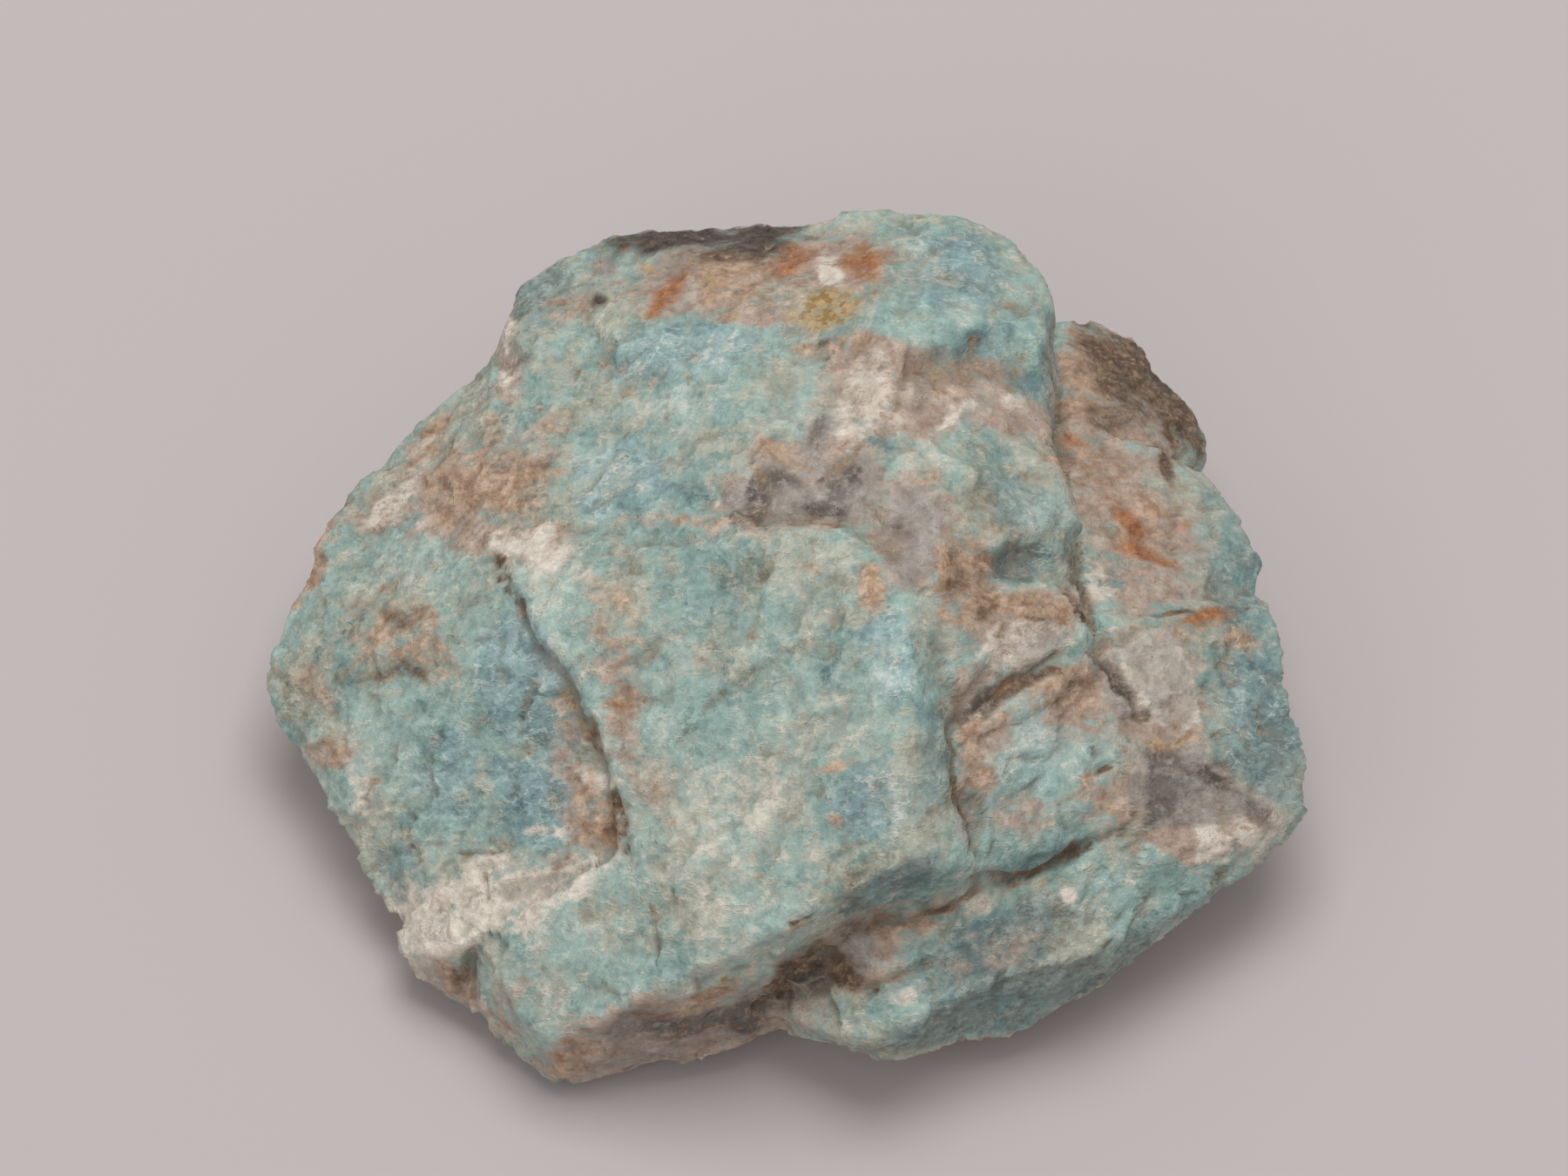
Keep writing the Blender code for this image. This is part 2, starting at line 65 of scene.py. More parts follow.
# The corners of each form, numbered from 1. Each is in mm: across to the right, up the face
# plane, which leans back by FACE_LEAN and is FACE_HEIGHT over the ground at the middle, and
# height over the ground.
CORNERS = {
    "back": [
        (-25.8, 31.7, 24), (-25.2, 35.8, 25), (-21.7, 38.3, 26), (-17.5, 40.2, 27),
        (-5.8, 41.8, 28), (3.3, 42.5, 29.5), (8.5, 43.3, 31), (16.3, 43.1, 31), (21.8, 40.8, 31),
        (24.6, 37.3, 32), (26, 33.5, 33),
    ],
    "knob": [
        (26.3, 33.3, 19), (28.3, 33.1, 17.5), (33.3, 31.5, 15), (36.2, 27.1, 14), (39.7, 24, 12.5),
        (40.6, 21, 12), (40, 18.6, 12), (36, 19.5, 18), (32, 22.5, 20.5), (26.3, 23, 22),
    ],
    "wing": [(40.5, 17, 16), (42.5, 14.6, 17), (45, 11, 17.5), (46.1, 8.5, 17.5), (45.8, 5.4, 17)],
    "fan": [
        (47.2, 4, 18), (47.2, 0, 17.5), (49, -5.8, 16), (50.2, -11, 15.5), (50.3, -15, 14.5),
        (48.5, -18, 12.5), (43, -21.5, 12.3),
    ],
    "sill": [
        (40, -23.8, 11), (34.2, -28.3, 8.5), (27.5, -33.3, 6.5), (23.3, -36.7, 4.3),
        (17.5, -37.3, 4.5), (12, -38.8, 6.3), (8.6, -38.4, 8), (6, -37.3, 8.5), (2.5, -35.9, 8.5),
    ],
    "toe": [
        (0, -36.7, 5), (-8.3, -40, 3), (-15, -41.5, 1.5), (-20.8, -41.7, 1), (-25, -38.2, 3),
        (-29.5, -34, 4),
    ],
    "heel": [(-33, -32, 4), (-36.8, -29.3, 5.5), (-37, -26, 7)],
    "flank": [(-40, -20, 7.5), (-43, -15.8, 8.5), (-44.6, -11.2, 9.5), (-48.3, -7.5, 10.5)],
    "cheek": [
        (-49.4, -4.8, 11.5), (-49.3, -1.5, 12.5), (-46.8, 3, 14.5), (-46.3, 5.5, 15),
        (-44.3, 11.5, 17), (-41.7, 15.8, 18),
    ],
    "shoulder": [(-35, 21.3, 19), (-31, 24, 21), (-28.3, 28.3, 23.5)],
    "plateau": [
        (-28.5, 24, 26.5), (-24, 28.8, 28.5), (-14, 32.5, 32), (-5, 32.8, 34.5), (0.5, 31, 36),
        (3.6, 27, 37.5), (3.6, 23, 38.3), (-1, 19.3, 38.2), (-5, 14.3, 37.5), (-9, 12.3, 36),
        (-17, 11.5, 33), (-24, 13.5, 30), (-29, 19, 26.8),
    ],
    "saddle": [(9, 38, 35), (6, 33, 37)],
    "lobe": [(25.5, 29.8, 35.5), (19, 31, 38.2), (12.5, 31.8, 38.6)],
    "terrace": [
        (10, 27.5, 37.3), (17, 27.3, 36), (22, 27.3, 34.8), (26, 26.5, 33.2), (25.8, 20.5, 34),
        (20, 20, 36.7), (14, 20.3, 38.2), (10, 22, 38.6), (6, 20.5, 38.8),
    ],
    "brow": [
        (8, 20.8, 39), (28, 14.5, 32.5), (27.5, 10.8, 32.3), (23, 11, 35), (19, 10, 36.8),
        (15.5, 10.5, 38.2), (15, 15, 38.8),
    ],
    "hollow": [(15.5, 7.5, 34.8), (19, 6.8, 33.2), (24, 7.8, 31.2), (27.5, 6.8, 29.8)],
    "cream": [
        (14.3, 4.5, 37.2), (19, 6, 35.2), (25, 6, 33.2), (28.3, 5, 31.5), (29.2, 2.5, 30.5),
        (26.8, 0.8, 31.3), (22, -1.5, 33), (16.5, -4, 34.4), (14, -4, 35.4),
    ],
    "trough": [
        (-3, 16.8, 36.3), (-4.5, 12.6, 36.3), (2, 12.2, 37.5), (8, 11.5, 38.6), (12, 6.8, 39),
        (12, 18, 38.3),
    ],
    "shield": [
        (-21.7, 9.5, 31.3), (-6, 10.8, 37.3), (-2, 12.6, 38.8), (4, 12.6, 40), (9, 9.5, 40.5),
        (11, 6, 40.2), (12, 0, 38.8), (11.7, -8, 36), (11, -16, 32.3), (7, -21.7, 28.3),
        (3.5, -24, 26.5), (-4, -28.3, 22), (-8, -31.3, 19), (-14, -34.3, 14.5), (-21.5, -37, 10.3),
        (-26, -32.5, 11.5), (-29, -28, 12.5), (-16, -19.5, 21.8), (-14.8, -15, 24.3),
        (-17, -10, 26.5), (-19, -5, 28), (-20.8, -1, 29), (-23.5, 3, 29.3), (-26, 8, 29.5),
        (0, -26, 24.8),
    ],
    "side": [
        (10, -20.3, 29.6), (14, -19.5, 28.5), (18, -19.8, 26.5), (16.8, -14, 30), (16, -8, 33.3),
    ],
    "step": [
        (-23.5, 3, 27.4), (-20.8, -1, 27), (-19, -5, 26), (-17, -10, 24.6), (-14.8, -15, 22.6),
        (-16, -19.5, 20.2), (-26, 8, 28.2),
    ],
    "left": [
        (-30, 13, 25.5), (-36, 15, 21.5), (-30, 0, 24.4), (-40, 0, 18.8), (-43, -11, 12.8),
        (-38.5, -16, 12.8), (-34.5, -22.7, 11.5), (-25, -20.5, 16.5),
    ],
    "albite": [(-18, -24, 17.5), (-31, -29.3, 9.5), (-35, -29.3, 7.5), (-30, -30.5, 8)],
    "cube": [
        (16.5, -8.5, 31.8), (21, -5.7, 30), (25.5, -2.8, 28.3), (29.5, -2.5, 26.5), (31, -10, 24),
        (29.5, -15, 22.8), (27.3, -17.8, 22), (22, -19.8, 23.3), (18.3, -20.6, 24.6),
        (16.8, -14, 28.9),
    ],
    "ray": [
        (29.5, 2.8, 27), (34, 4.2, 24.3), (41, 4.6, 20.8), (31, -16.5, 21.5), (31, -10, 24),
        (30.3, -3.5, 26), (38, -18.3, 18.3),
    ],
    "drop": [
        (28.3, 14.5, 23), (27.8, 7.5, 24.8), (29.5, 4.2, 25.8), (34, 5, 23.3), (41, 5.2, 19.8),
    ],
    "shelf": [
        (6, -26.5, 19.5), (10, -25.3, 19.8), (14, -24.2, 20), (19, -22.3, 20), (24, -21.5, 19.3),
        (28, -18.8, 19.8), (32, -17, 20.5),
    ],
    "lip": [
        (40, -22.8, 13.3), (36, -25, 13.8), (31, -28, 13.8), (27, -29.5, 14.6), (21, -31, 15.2),
        (17.5, -31.7, 15.3), (15, -32.8, 15.2), (12, -35, 14.3), (8, -36.7, 12.5),
        (3.5, -31, 13.5), (-1.5, -34.3, 9.5),
    ],
}

# The blocks. Each has the corners of its face, as a form and its numbers, once round.
BLOCKS = {
    "plateau": "plateau 1 2 3 4 5 6 7 8 9 10 11 12 13",
    "back_slope_left": "shoulder 3 back 1 2 3 4 plateau 3 2 1",
    "back_slope_middle": "back 4 5 6 saddle 1 2 plateau 5 4 3",
    "back_slope_right": "back 6 7 saddle 1",
    "lobe": "back 7 8 9 10 11 lobe 1 2 3 saddle 2 1",
    "lobe_front": "lobe 1 2 3 terrace 1 2 3 4",
    "saddle_ramp": "plateau 5 saddle 2 lobe 3 terrace 1 8 9 plateau 7 6",
    "terrace": "terrace 1 2 3 4 5 6 7 8",
    "quartz_trough": "plateau 7 terrace 9 brow 1 trough 6 brow 7 6 trough 5 4 3 2 1 plateau 8",
    "trough_wall": "plateau 8 trough 1 2 plateau 9",
    "trough_end": "plateau 9 trough 2 shield 3 2 plateau 10",
    "brow": "brow 1 terrace 8 7 6 5 brow 2 3 4 5 6 7 trough 6",
    "hollow_wall": "brow 6 5 4 3 hollow 4 3 2 1",
    "hollow_floor": "hollow 1 2 3 4 cream 4 3 2 1 trough 5 brow 6",
    "cream_face": "cream 1 2 3 4 5 6 7 8 9",
    "shield_top": "shield 24 1 2 3 4 5 6 7 22 23",
    "shield_middle": "shield 22 7 8 20 21",
    "shield_lower": "shield 20 8 9 10 11 18 19",
    "shield_foot": "shield 18 11 25 12 13 14 15 16 17",
    "shield_side": "shield 6 trough 5 cream 1 9 8 side 5 shield 8 7",
    "shield_side_lower": "shield 8 side 5 4 3 2 1 shield 10 9",
    "shield_rim": "shield 3 trough 3 4 5 shield 6 5 4",
    "shield_back": "plateau 12 11 10 shield 2 1 24",
    "left_face_upper": "cheek 4 5 6 left 2 1 step 7 1 left 3 4 cheek 2 3",
    "left_face_lower": "cheek 2 left 4 3 step 1 2 3 4 5 6 left 8 7 6 5 cheek 1",
    "shoulder": "shoulder 3 plateau 1 13 12 left 1 2 cheek 6 shoulder 1 2",
    "shoulder_end": "plateau 12 shield 24 left 1 plateau 11 shield 1",
    "flank": "cheek 1 left 5 6 7 heel 3 flank 1 2 3 4",
    "albite_corner": "left 7 8 step 6 albite 1 shield 17 albite 2 3 heel 2 3",
    "albite_seam": "step 6 albite 1 shield 17 18",
    "toe_side": "shield 17 16 15 toe 4 5 6 albite 4",
    "heel_hollow": "albite 2 3 heel 2 1 toe 6 albite 4 shield 17",
    "front_wall_toe": "shield 15 14 13 toe 2 3 4",
    "front_wall_left": "shield 13 12 25 toe 1 2 lip 11",
    "front_wall_middle": "shield 25 11 10 shelf 1 lip 10 11",
    "front_wall_right": "shield 10 side 1 2 3 cube 9 shelf 4 3 2 1",
    "cube_front": "cube 9 8 7 shelf 6 5 4",
    "cube_front_end": "cube 7 6 ray 4 shelf 7 6",
    "cube": "cube 1 2 3 4 5 6 7 8 9 10",
    "cube_seam": "side 5 cube 1 10 side 4",
    "cube_seam_lower": "side 4 cube 10 9 side 3",
    "groove_wall": "cream 8 7 6 5 cube 4 3 2 1 side 5",
    "knob": "knob 1 2 3 4 5 6 7 8 9 10",
    "wing": "knob 10 9 8 wing 1 2 3 4 5 drop 5 4 3 2 1",
    "wing_groove": "drop 3 4 5 wing 5 fan 1 ray 3 2 1",
    "fan": "ray 1 2 3 fan 1 2 3 4 5 6 7 ray 7 4 5 6",
    "fan_seam": "cream 5 ray 1 6 cube 4",
    "cube_end": "cube 4 ray 6 5 cube 5 ray 4 cube 6",
    "shelf": "shelf 1 2 3 4 5 6 7 ray 7 fan 7 lip 1 2 3 4 5 6 7 8 9 10",
    "shelf_back": "shelf 7 ray 4 7",
    "lip_left": "lip 9 8 7 6 sill 5 6 7 8",
    "lip_middle": "lip 6 5 4 3 sill 2 3 4 5",
    "lip_right": "lip 3 2 1 fan 7 sill 1 2",
    "shelf_end": "lip 9 10 11 toe 1 sill 9 8",
}

# Under each corner the flank goes down to a waist, a sole on the ground and a foot below it.
# Their heights and reaches are shares of the corner's own, and the foot's depth is in mm.
WAIST_HEIGHT = 0.4
WAIST_REACH = 0.91
WAIST_BACK_GAIN = 0.07
SOLE_HEIGHT = 0.1
SOLE_REACH = 0.72
FOOT_DEPTH = 4.0
FOOT_REACH = 0.4
HALF_DEPTH = 40.0

# The heart is one more block, which fills the middle between the others. It reaches part of
# the way to these corners of each form.
HEART_HEIGHT = 12.0
HEART_REACH = 0.7
HEART_CORNERS = (1, 4, 7)
PLANE_DECIMALS = 3


def corner_place(across, up, height):
    """Place of a corner. It lies back by its way up the face plane, less what its height gives
    of that way, over the sine of the lean."""
    back = (up - (height - FACE_HEIGHT) * math.cos(FACE_LEAN)) / math.sin(FACE_LEAN)
    return Vector((across, back, height))


def block_corners(words):
    """Places of a block's corners, given as a form's name and the numbers of its corners."""
    places = []
    for word in words.split():
        if word.isdigit():
            places.append(corner_place(*form[int(word) - 1]))
        else:
            form = CORNERS[word]
    return places


def with_underside(corners):
    """The corners, and under each a waist, a sole and a foot, at set shares of its reach."""
    points = list(corners)
    for corner in corners:
        waist_reach = WAIST_REACH + WAIST_BACK_GAIN * corner.y / HALF_DEPTH
        points += [
            Vector((corner.x * waist_reach, corner.y * waist_reach, corner.z * WAIST_HEIGHT)),
            Vector((corner.x * SOLE_REACH, corner.y * SOLE_REACH, corner.z * SOLE_HEIGHT)),
            Vector((corner.x * FOOT_REACH, corner.y * FOOT_REACH, -FOOT_DEPTH)),
        ]
    return points


def hull_planes(points):
    """Planes of the points' convex hull, one row each: outward normal, and minus its distance."""
    hull = bmesh.new()
    for point in points:
        hull.verts.new(point)
    bmesh.ops.convex_hull(hull, input=hull.verts)
    middle = sum(points, Vector()) / len(points)
    planes = []
    for face in hull.faces:
        offset = -face.normal.dot(face.calc_center_median())
        side = -1 if face.normal.dot(middle) + offset > 0 else 1
        planes.append([*(face.normal * side), offset * side])
    hull.free()
    return np.unique(np.round(planes, PLANE_DECIMALS), axis=0)


heart_middle = Vector((0, 0, HEART_HEIGHT))
heart_corners = [
    corner_place(*form[number - 1])
    for form in CORNERS.values() for number in HEART_CORNERS if number <= len(form)
]
block_points = [block_corners(words) for words in BLOCKS.values()]
block_points.append([heart_middle.lerp(corner, HEART_REACH) for corner in heart_corners])
block_planes = [hull_planes(with_underside(points)) for points in block_points]

# All planes in one table, where each block's rows start, and each block's rows, its last one
# repeated so that all blocks have as many.
plane_table = np.concatenate(block_planes).astype(np.float32)
block_starts = np.cumsum([0] + [len(planes) for planes in block_planes])[:-1]
most_planes = max(len(planes) for planes in block_planes)
block_rows = np.stack([
    start + np.minimum(np.arange(most_planes), len(planes) - 1)
    for start, planes in zip(block_starts, block_planes)
])


# ---------------------------------------------------------------------------------------------
# The grain. Crystals grew at random from melt, so the break and the minerals both wander as
# seeded noise does: random values on a lattice, blended smoothly between its points, or kept
# flat over a cell. Every run gives the same stone.

LATTICE = 32
GRAIN_SEED = 7
SEED_SHIFT = np.array([7.13, 3.71, 5.37])

seeded = np.random.default_rng(GRAIN_SEED)
lattice_values = seeded.uniform(-1, 1, (LATTICE, LATTICE, LATTICE))
lattice_places = seeded.uniform(0, 1, (LATTICE, LATTICE, LATTICE, 3))
lattice_tilts = seeded.uniform(-1, 1, (LATTICE, LATTICE, LATTICE, 3))


def cloud(points, size, seed=0):
    """Smooth noise from -1 to 1: lattice values at a spacing of size, blended along each axis
    by the curve 3t^2 - 2t^3. The seed slides the lattice by an odd share of its length."""
    place = points / size + seed * SEED_SHIFT
    cell = np.floor(place).astype(int)
    share = place - cell
    share = share * share * (3 - 2 * share)
    total = 0
    for corner in np.ndindex(2, 2, 2):
        weight = np.abs(1 - np.array(corner) - share).prod(axis=1)
        x, y, z = ((cell + corner) % LATTICE).T
        total = total + weight * lattice_values[x, y, z]
    return total


def rough_cloud(points, size, seed=0, layers=3):
    """Clouds added up, each half the size and half the strength of the last."""
    return sum(cloud(points, size / 2**layer, seed + layer) / 2**layer for layer in range(layers))


def cloud_vector(points, size, seed):
    """Three clouds side by side, to push points about."""
    return np.stack([cloud(points, size, seed + axis) for axis in range(3)], axis=1)


def flakes(points, size, seed):
    """Heights of flat flakes, from about -1 to 1. A flake is the space nearest to one jittered
    lattice point, and has its own level and its own tilt: level + tilt . (point - middle)."""
    place = points / size + seed * np.roll(SEED_SHIFT, 1)
    cell = np.floor(place).astype(int)
    nearest = np.full(len(points), np.inf)
    height = np.zeros(len(points))
    for step in np.ndindex(3, 3, 3):
        near_cell = cell + step - 1
        x, y, z = (near_cell % LATTICE).T
        gap = place - near_cell - lattice_places[x, y, z]
        distance = (gap**2).sum(axis=1)
        closer = distance < nearest
        nearest = np.where(closer, distance, nearest)
        level = 0.5 * lattice_values[x, y, z] + (gap * lattice_tilts[x, y, z]).sum(axis=1)
        height = np.where(closer, level, height)
    return height


# ---------------------------------------------------------------------------------------------
# The skin. The broken surface is one closed sheet, drawn over the blocks from outside. Its top
# is a square grid bent over the stone, a skirt of rings runs on from its edge down and under,
# and a fan closes the flat patch that the stone rests on.

# Cells along a side of the top, and rings below it. The sheet is laid out with cells twice as
# large first.
TOP_CELLS = 240
SKIRT_RINGS = 42
COARSENESS = 2

# The top and the skirt end at these angles from straight up. The shell round the stone and the
# flat spine in it are ellipsoids round the same middle, in mm.
TOP_ANGLE = math.radians(100)
UNDER_ANGLE = math.radians(158)
SHELL_REACH = np.array([66.0, 56.0, 44.0])
SPINE_REACH = np.array([27.0, 22.0, 0.0])
SHELL_MIDDLE = np.array([0.0, 0.0, 12.0])

# How the sheet is laid on the stone: the most steps, the share of the depth that each goes, the
# depth in mm that is near enough, and how often and how far points are drawn to the middle of
# their neighbours.
POINTS_AT_ONCE = 4000
MOST_STEPS = 60
STEP_SHARE = 0.97
NEAR_ENOUGH = 0.02
EVEN_ROUNDS = 5
EVEN_PULL = 0.8


def stone_depth(points):
    """How far each point is outside the stone, and which way is out. A block's depth is its
    largest distance over its planes, and the stone's is the smallest over its blocks. The
    ground plane cuts it off."""
    depth = np.empty(len(points))
    outward = np.empty((len(points), 3))
    for start in range(0, len(points), POINTS_AT_ONCE):
        part = slice(start, start + POINTS_AT_ONCE)
        place = points[part].T.astype(np.float32)
        over = plane_table[:, :3] @ place + plane_table[:, 3:]
        nearest = np.maximum.reduceat(over, block_starts, axis=0).argmin(axis=0)
        rows = block_rows[nearest]
        own = over[rows, np.arange(place.shape[1])[:, None]]
        top_plane = rows[np.arange(place.shape[1]), own.argmax(axis=1)]
        depth[part] = own.max(axis=1)
        outward[part] = plane_table[top_plane, :3]
    under_ground = -points[:, 2] > depth
    depth[under_ground] = -points[under_ground, 2]
    outward[under_ground] = (0, 0, -1)
    return depth, outward


def shell_rays(tilt, turn):
    """Start and end of a sight line to the stone: from a shell round it to a flat spine in it,
    for a tilt down from straight up and a turn about the vertical."""
    ray = np.stack([np.sin(tilt) * np.cos(turn), np.sin(tilt) * np.sin(turn), np.cos(tilt)], axis=-1)
    return SHELL_MIDDLE + SHELL_REACH * ray, SHELL_MIDDLE + SPINE_REACH * ray


def trace(starts, ends):
    """The first point of the stone on each line: each point steps on by its own depth."""
    length = np.linalg.norm(ends - starts, axis=1)
    heading = (ends - starts) / length[:, None]
    gone = np.zeros(len(starts))
    going = np.arange(len(starts))
    for _ in range(MOST_STEPS):
        depth, _ = stone_depth(starts[going] + heading[going] * gone[going, None])
        gone[going] = np.minimum(gone[going] + STEP_SHARE * depth, length[going])
        going = going[(depth > NEAR_ENOUGH) & (gone[going] < length[going])]
        if len(going) == 0:
            break
    return starts + heading * gone[:, None]


def square_grid(cells):
    """Tilt and turn of the top's points: a square grid, its rings of squares made circles."""
    side = np.linspace(-1, 1, cells + 1)
    across, along = np.meshgrid(side, side)
    reach = np.maximum(np.abs(across), np.abs(along))
    wide = np.abs(across) >= np.abs(along)
    longer = np.where(wide, across, along)
    slope = np.where(wide, along, across) / np.where(longer == 0, 1, longer) * math.pi / 4
    turn = np.where(wide, slope, math.pi / 2 - slope) + np.where(longer < 0, math.pi, 0)
    return reach * TOP_ANGLE, turn


def grid_rim(grid):
    """The border of a square grid, once round."""
    return np.concatenate([grid[0, :-1], grid[:-1, -1], grid[-1, :0:-1], grid[:0:-1, 0]])


def doubled(lines):
    """The lines along the first axis with a new one half way between each two, and a last one
    half way from the end to the start."""
    halfway = (lines + np.roll(lines, -1, axis=0)) / 2
    return np.stack([lines, halfway], axis=1).reshape(-1, *lines.shape[1:])


def finer(top, rings):
    """Top grid and skirt rings with twice the cells each way."""
    fine_top = doubled(top)[:-1].swapaxes(0, 1)
    fine_top = doubled(fine_top)[:-1].swapaxes(0, 1)
    fine_rings = doubled(rings)[:-1].swapaxes(0, 1)
    return fine_top, doubled(fine_rings).swapaxes(0, 1)


class Sheet:
    """The grid lines of the sheet: the top's square grid, and the skirt's rings under its rim."""

    def __init__(self, cells, ring_count):
        self.top = np.arange((cells + 1) ** 2).reshape(cells + 1, cells + 1)
        skirt = self.top.size + np.arange(ring_count * 4 * cells).reshape(ring_count, 4 * cells)
        self.rings = np.concatenate([grid_rim(self.top)[None], skirt])
        next_ring = np.roll(self.rings, -1, axis=1)
        top_quads = [self.top[:-1, :-1], self.top[:-1, 1:], self.top[1:, 1:], self.top[1:, :-1]]
        skirt_quads = [self.rings[:-1], self.rings[1:], next_ring[1:], next_ring[:-1]]
        self.quads = np.concatenate([
            np.stack(corners, axis=-1).reshape(-1, 4) for corners in (top_quads, skirt_quads)
        ])
        lines = [
            (self.top[:, :-1], self.top[:, 1:]),
            (self.top[:-1], self.top[1:]),
            (self.rings[:-1], self.rings[1:]),
            (skirt, np.roll(skirt, -1, axis=1)),
        ]
        self.edges = np.concatenate([np.stack(ends, axis=-1).reshape(-1, 2) for ends in lines])
        self.neighbours = np.bincount(self.edges.ravel())

    def neighbour_mean(self, values):
        """Mean of each point's neighbours along the grid lines."""
        if values.ndim == 2:
            return np.stack([self.neighbour_mean(column) for column in values.T], axis=1)
        start, end = self.edges.T
        total = np.bincount(start, values[end]) + np.bincount(end, values[start])
        return total / self.neighbours

    def normals(self, places):
        """Unit normal at each point: the quads' own normals added up over their corners."""
        a, b, c, d = (places[self.quads[:, corner]] for corner in range(4))
        quad_normals = np.cross(c - a, d - b)
        index = self.quads.ravel()
        total = np.stack([np.bincount(index, np.repeat(part, 4)) for part in quad_normals.T], axis=1)
        return total / np.maximum(np.linalg.norm(total, axis=1), 1e-9)[:, None]

    def evened(self, places):
        """The points spread out evenly over the stone: each is drawn to the middle of its
        neighbours and put back on the stone. The last ring stays."""
        for _ in range(EVEN_ROUNDS):
            held = places[self.rings[-1]]
            places = places + EVEN_PULL * (self.neighbour_mean(places) - places)
            depth, outward = stone_depth(places)
            places = places - depth[:, None] * outward
            places[self.rings[-1]] = held
        return places


coarse = Sheet(TOP_CELLS // COARSENESS, SKIRT_RINGS // COARSENESS)
tilt, turn = square_grid(TOP_CELLS // COARSENESS)
rim_turn = grid_rim(turn)
skirt_tilt = np.linspace(TOP_ANGLE, UNDER_ANGLE, len(coarse.rings))[1:, None] + 0 * rim_turn
skirt_turn = rim_turn + 0 * skirt_tilt
starts, ends = shell_rays(
    np.concatenate([tilt.ravel(), skirt_tilt.ravel()]),
    np.concatenate([turn.ravel(), skirt_turn.ravel()]),
)
places = coarse.evened(trace(starts, ends))
fine_top, fine_rings = finer(places[coarse.top], places[coarse.rings])
sheet = Sheet(TOP_CELLS, SKIRT_RINGS)
places = sheet.evened(np.concatenate([fine_top.reshape(-1, 3), fine_rings[1:].reshape(-1, 3)]))
last_ring = sheet.rings[-1]


# ---------------------------------------------------------------------------------------------
# The break. Cleavage leaves flat flakes in three sizes with little steps between them, drawn
# out along one direction, over low swells. Edges wander as the grain does, and clefts run
# where blocks part.

# Wandering edges: a size, a push and a seed. Flakes: a size, a height and a seed. All in mm.
WANDER = ((14.0, 0.6, 20), (4.0, 0.2, 40))
FLAKES = ((6.5, 0.5, 11), (3.0, 0.32, 12), (1.4, 0.15, 13))

# The flakes' lattice is turned and drawn out by FLAKE_GRAIN, and bent by a cloud.
FLAKE_GRAIN = np.array([(0.5, 0.4, 0.3), (-0.8, 0.7, 0.2), (-0.3, -0.5, 1.0)])
FLAKE_BEND = 1.0
FLAKE_BEND_SIZE = 3.0
FLAKE_BEND_SEED = 60

# Low swells run over the whole skin. Clefts and small stains come out ragged.
SWELL_SIZE = 9.0
SWELL_HEIGHT = 0.2
SWELL_SEED = 3
RAGGED_PUSH = 0.35
RAGGED_SIZE = 2.0
RAGGED_SEED = 70

# Clefts fade where the skin turns away, all relief fades over the lowest FLAT_FOOT mm, and a
# light smoothing ends it.
CLEFT_FACING = 4
FLAT_FOOT = 2.0
SMOOTHING = 0.15

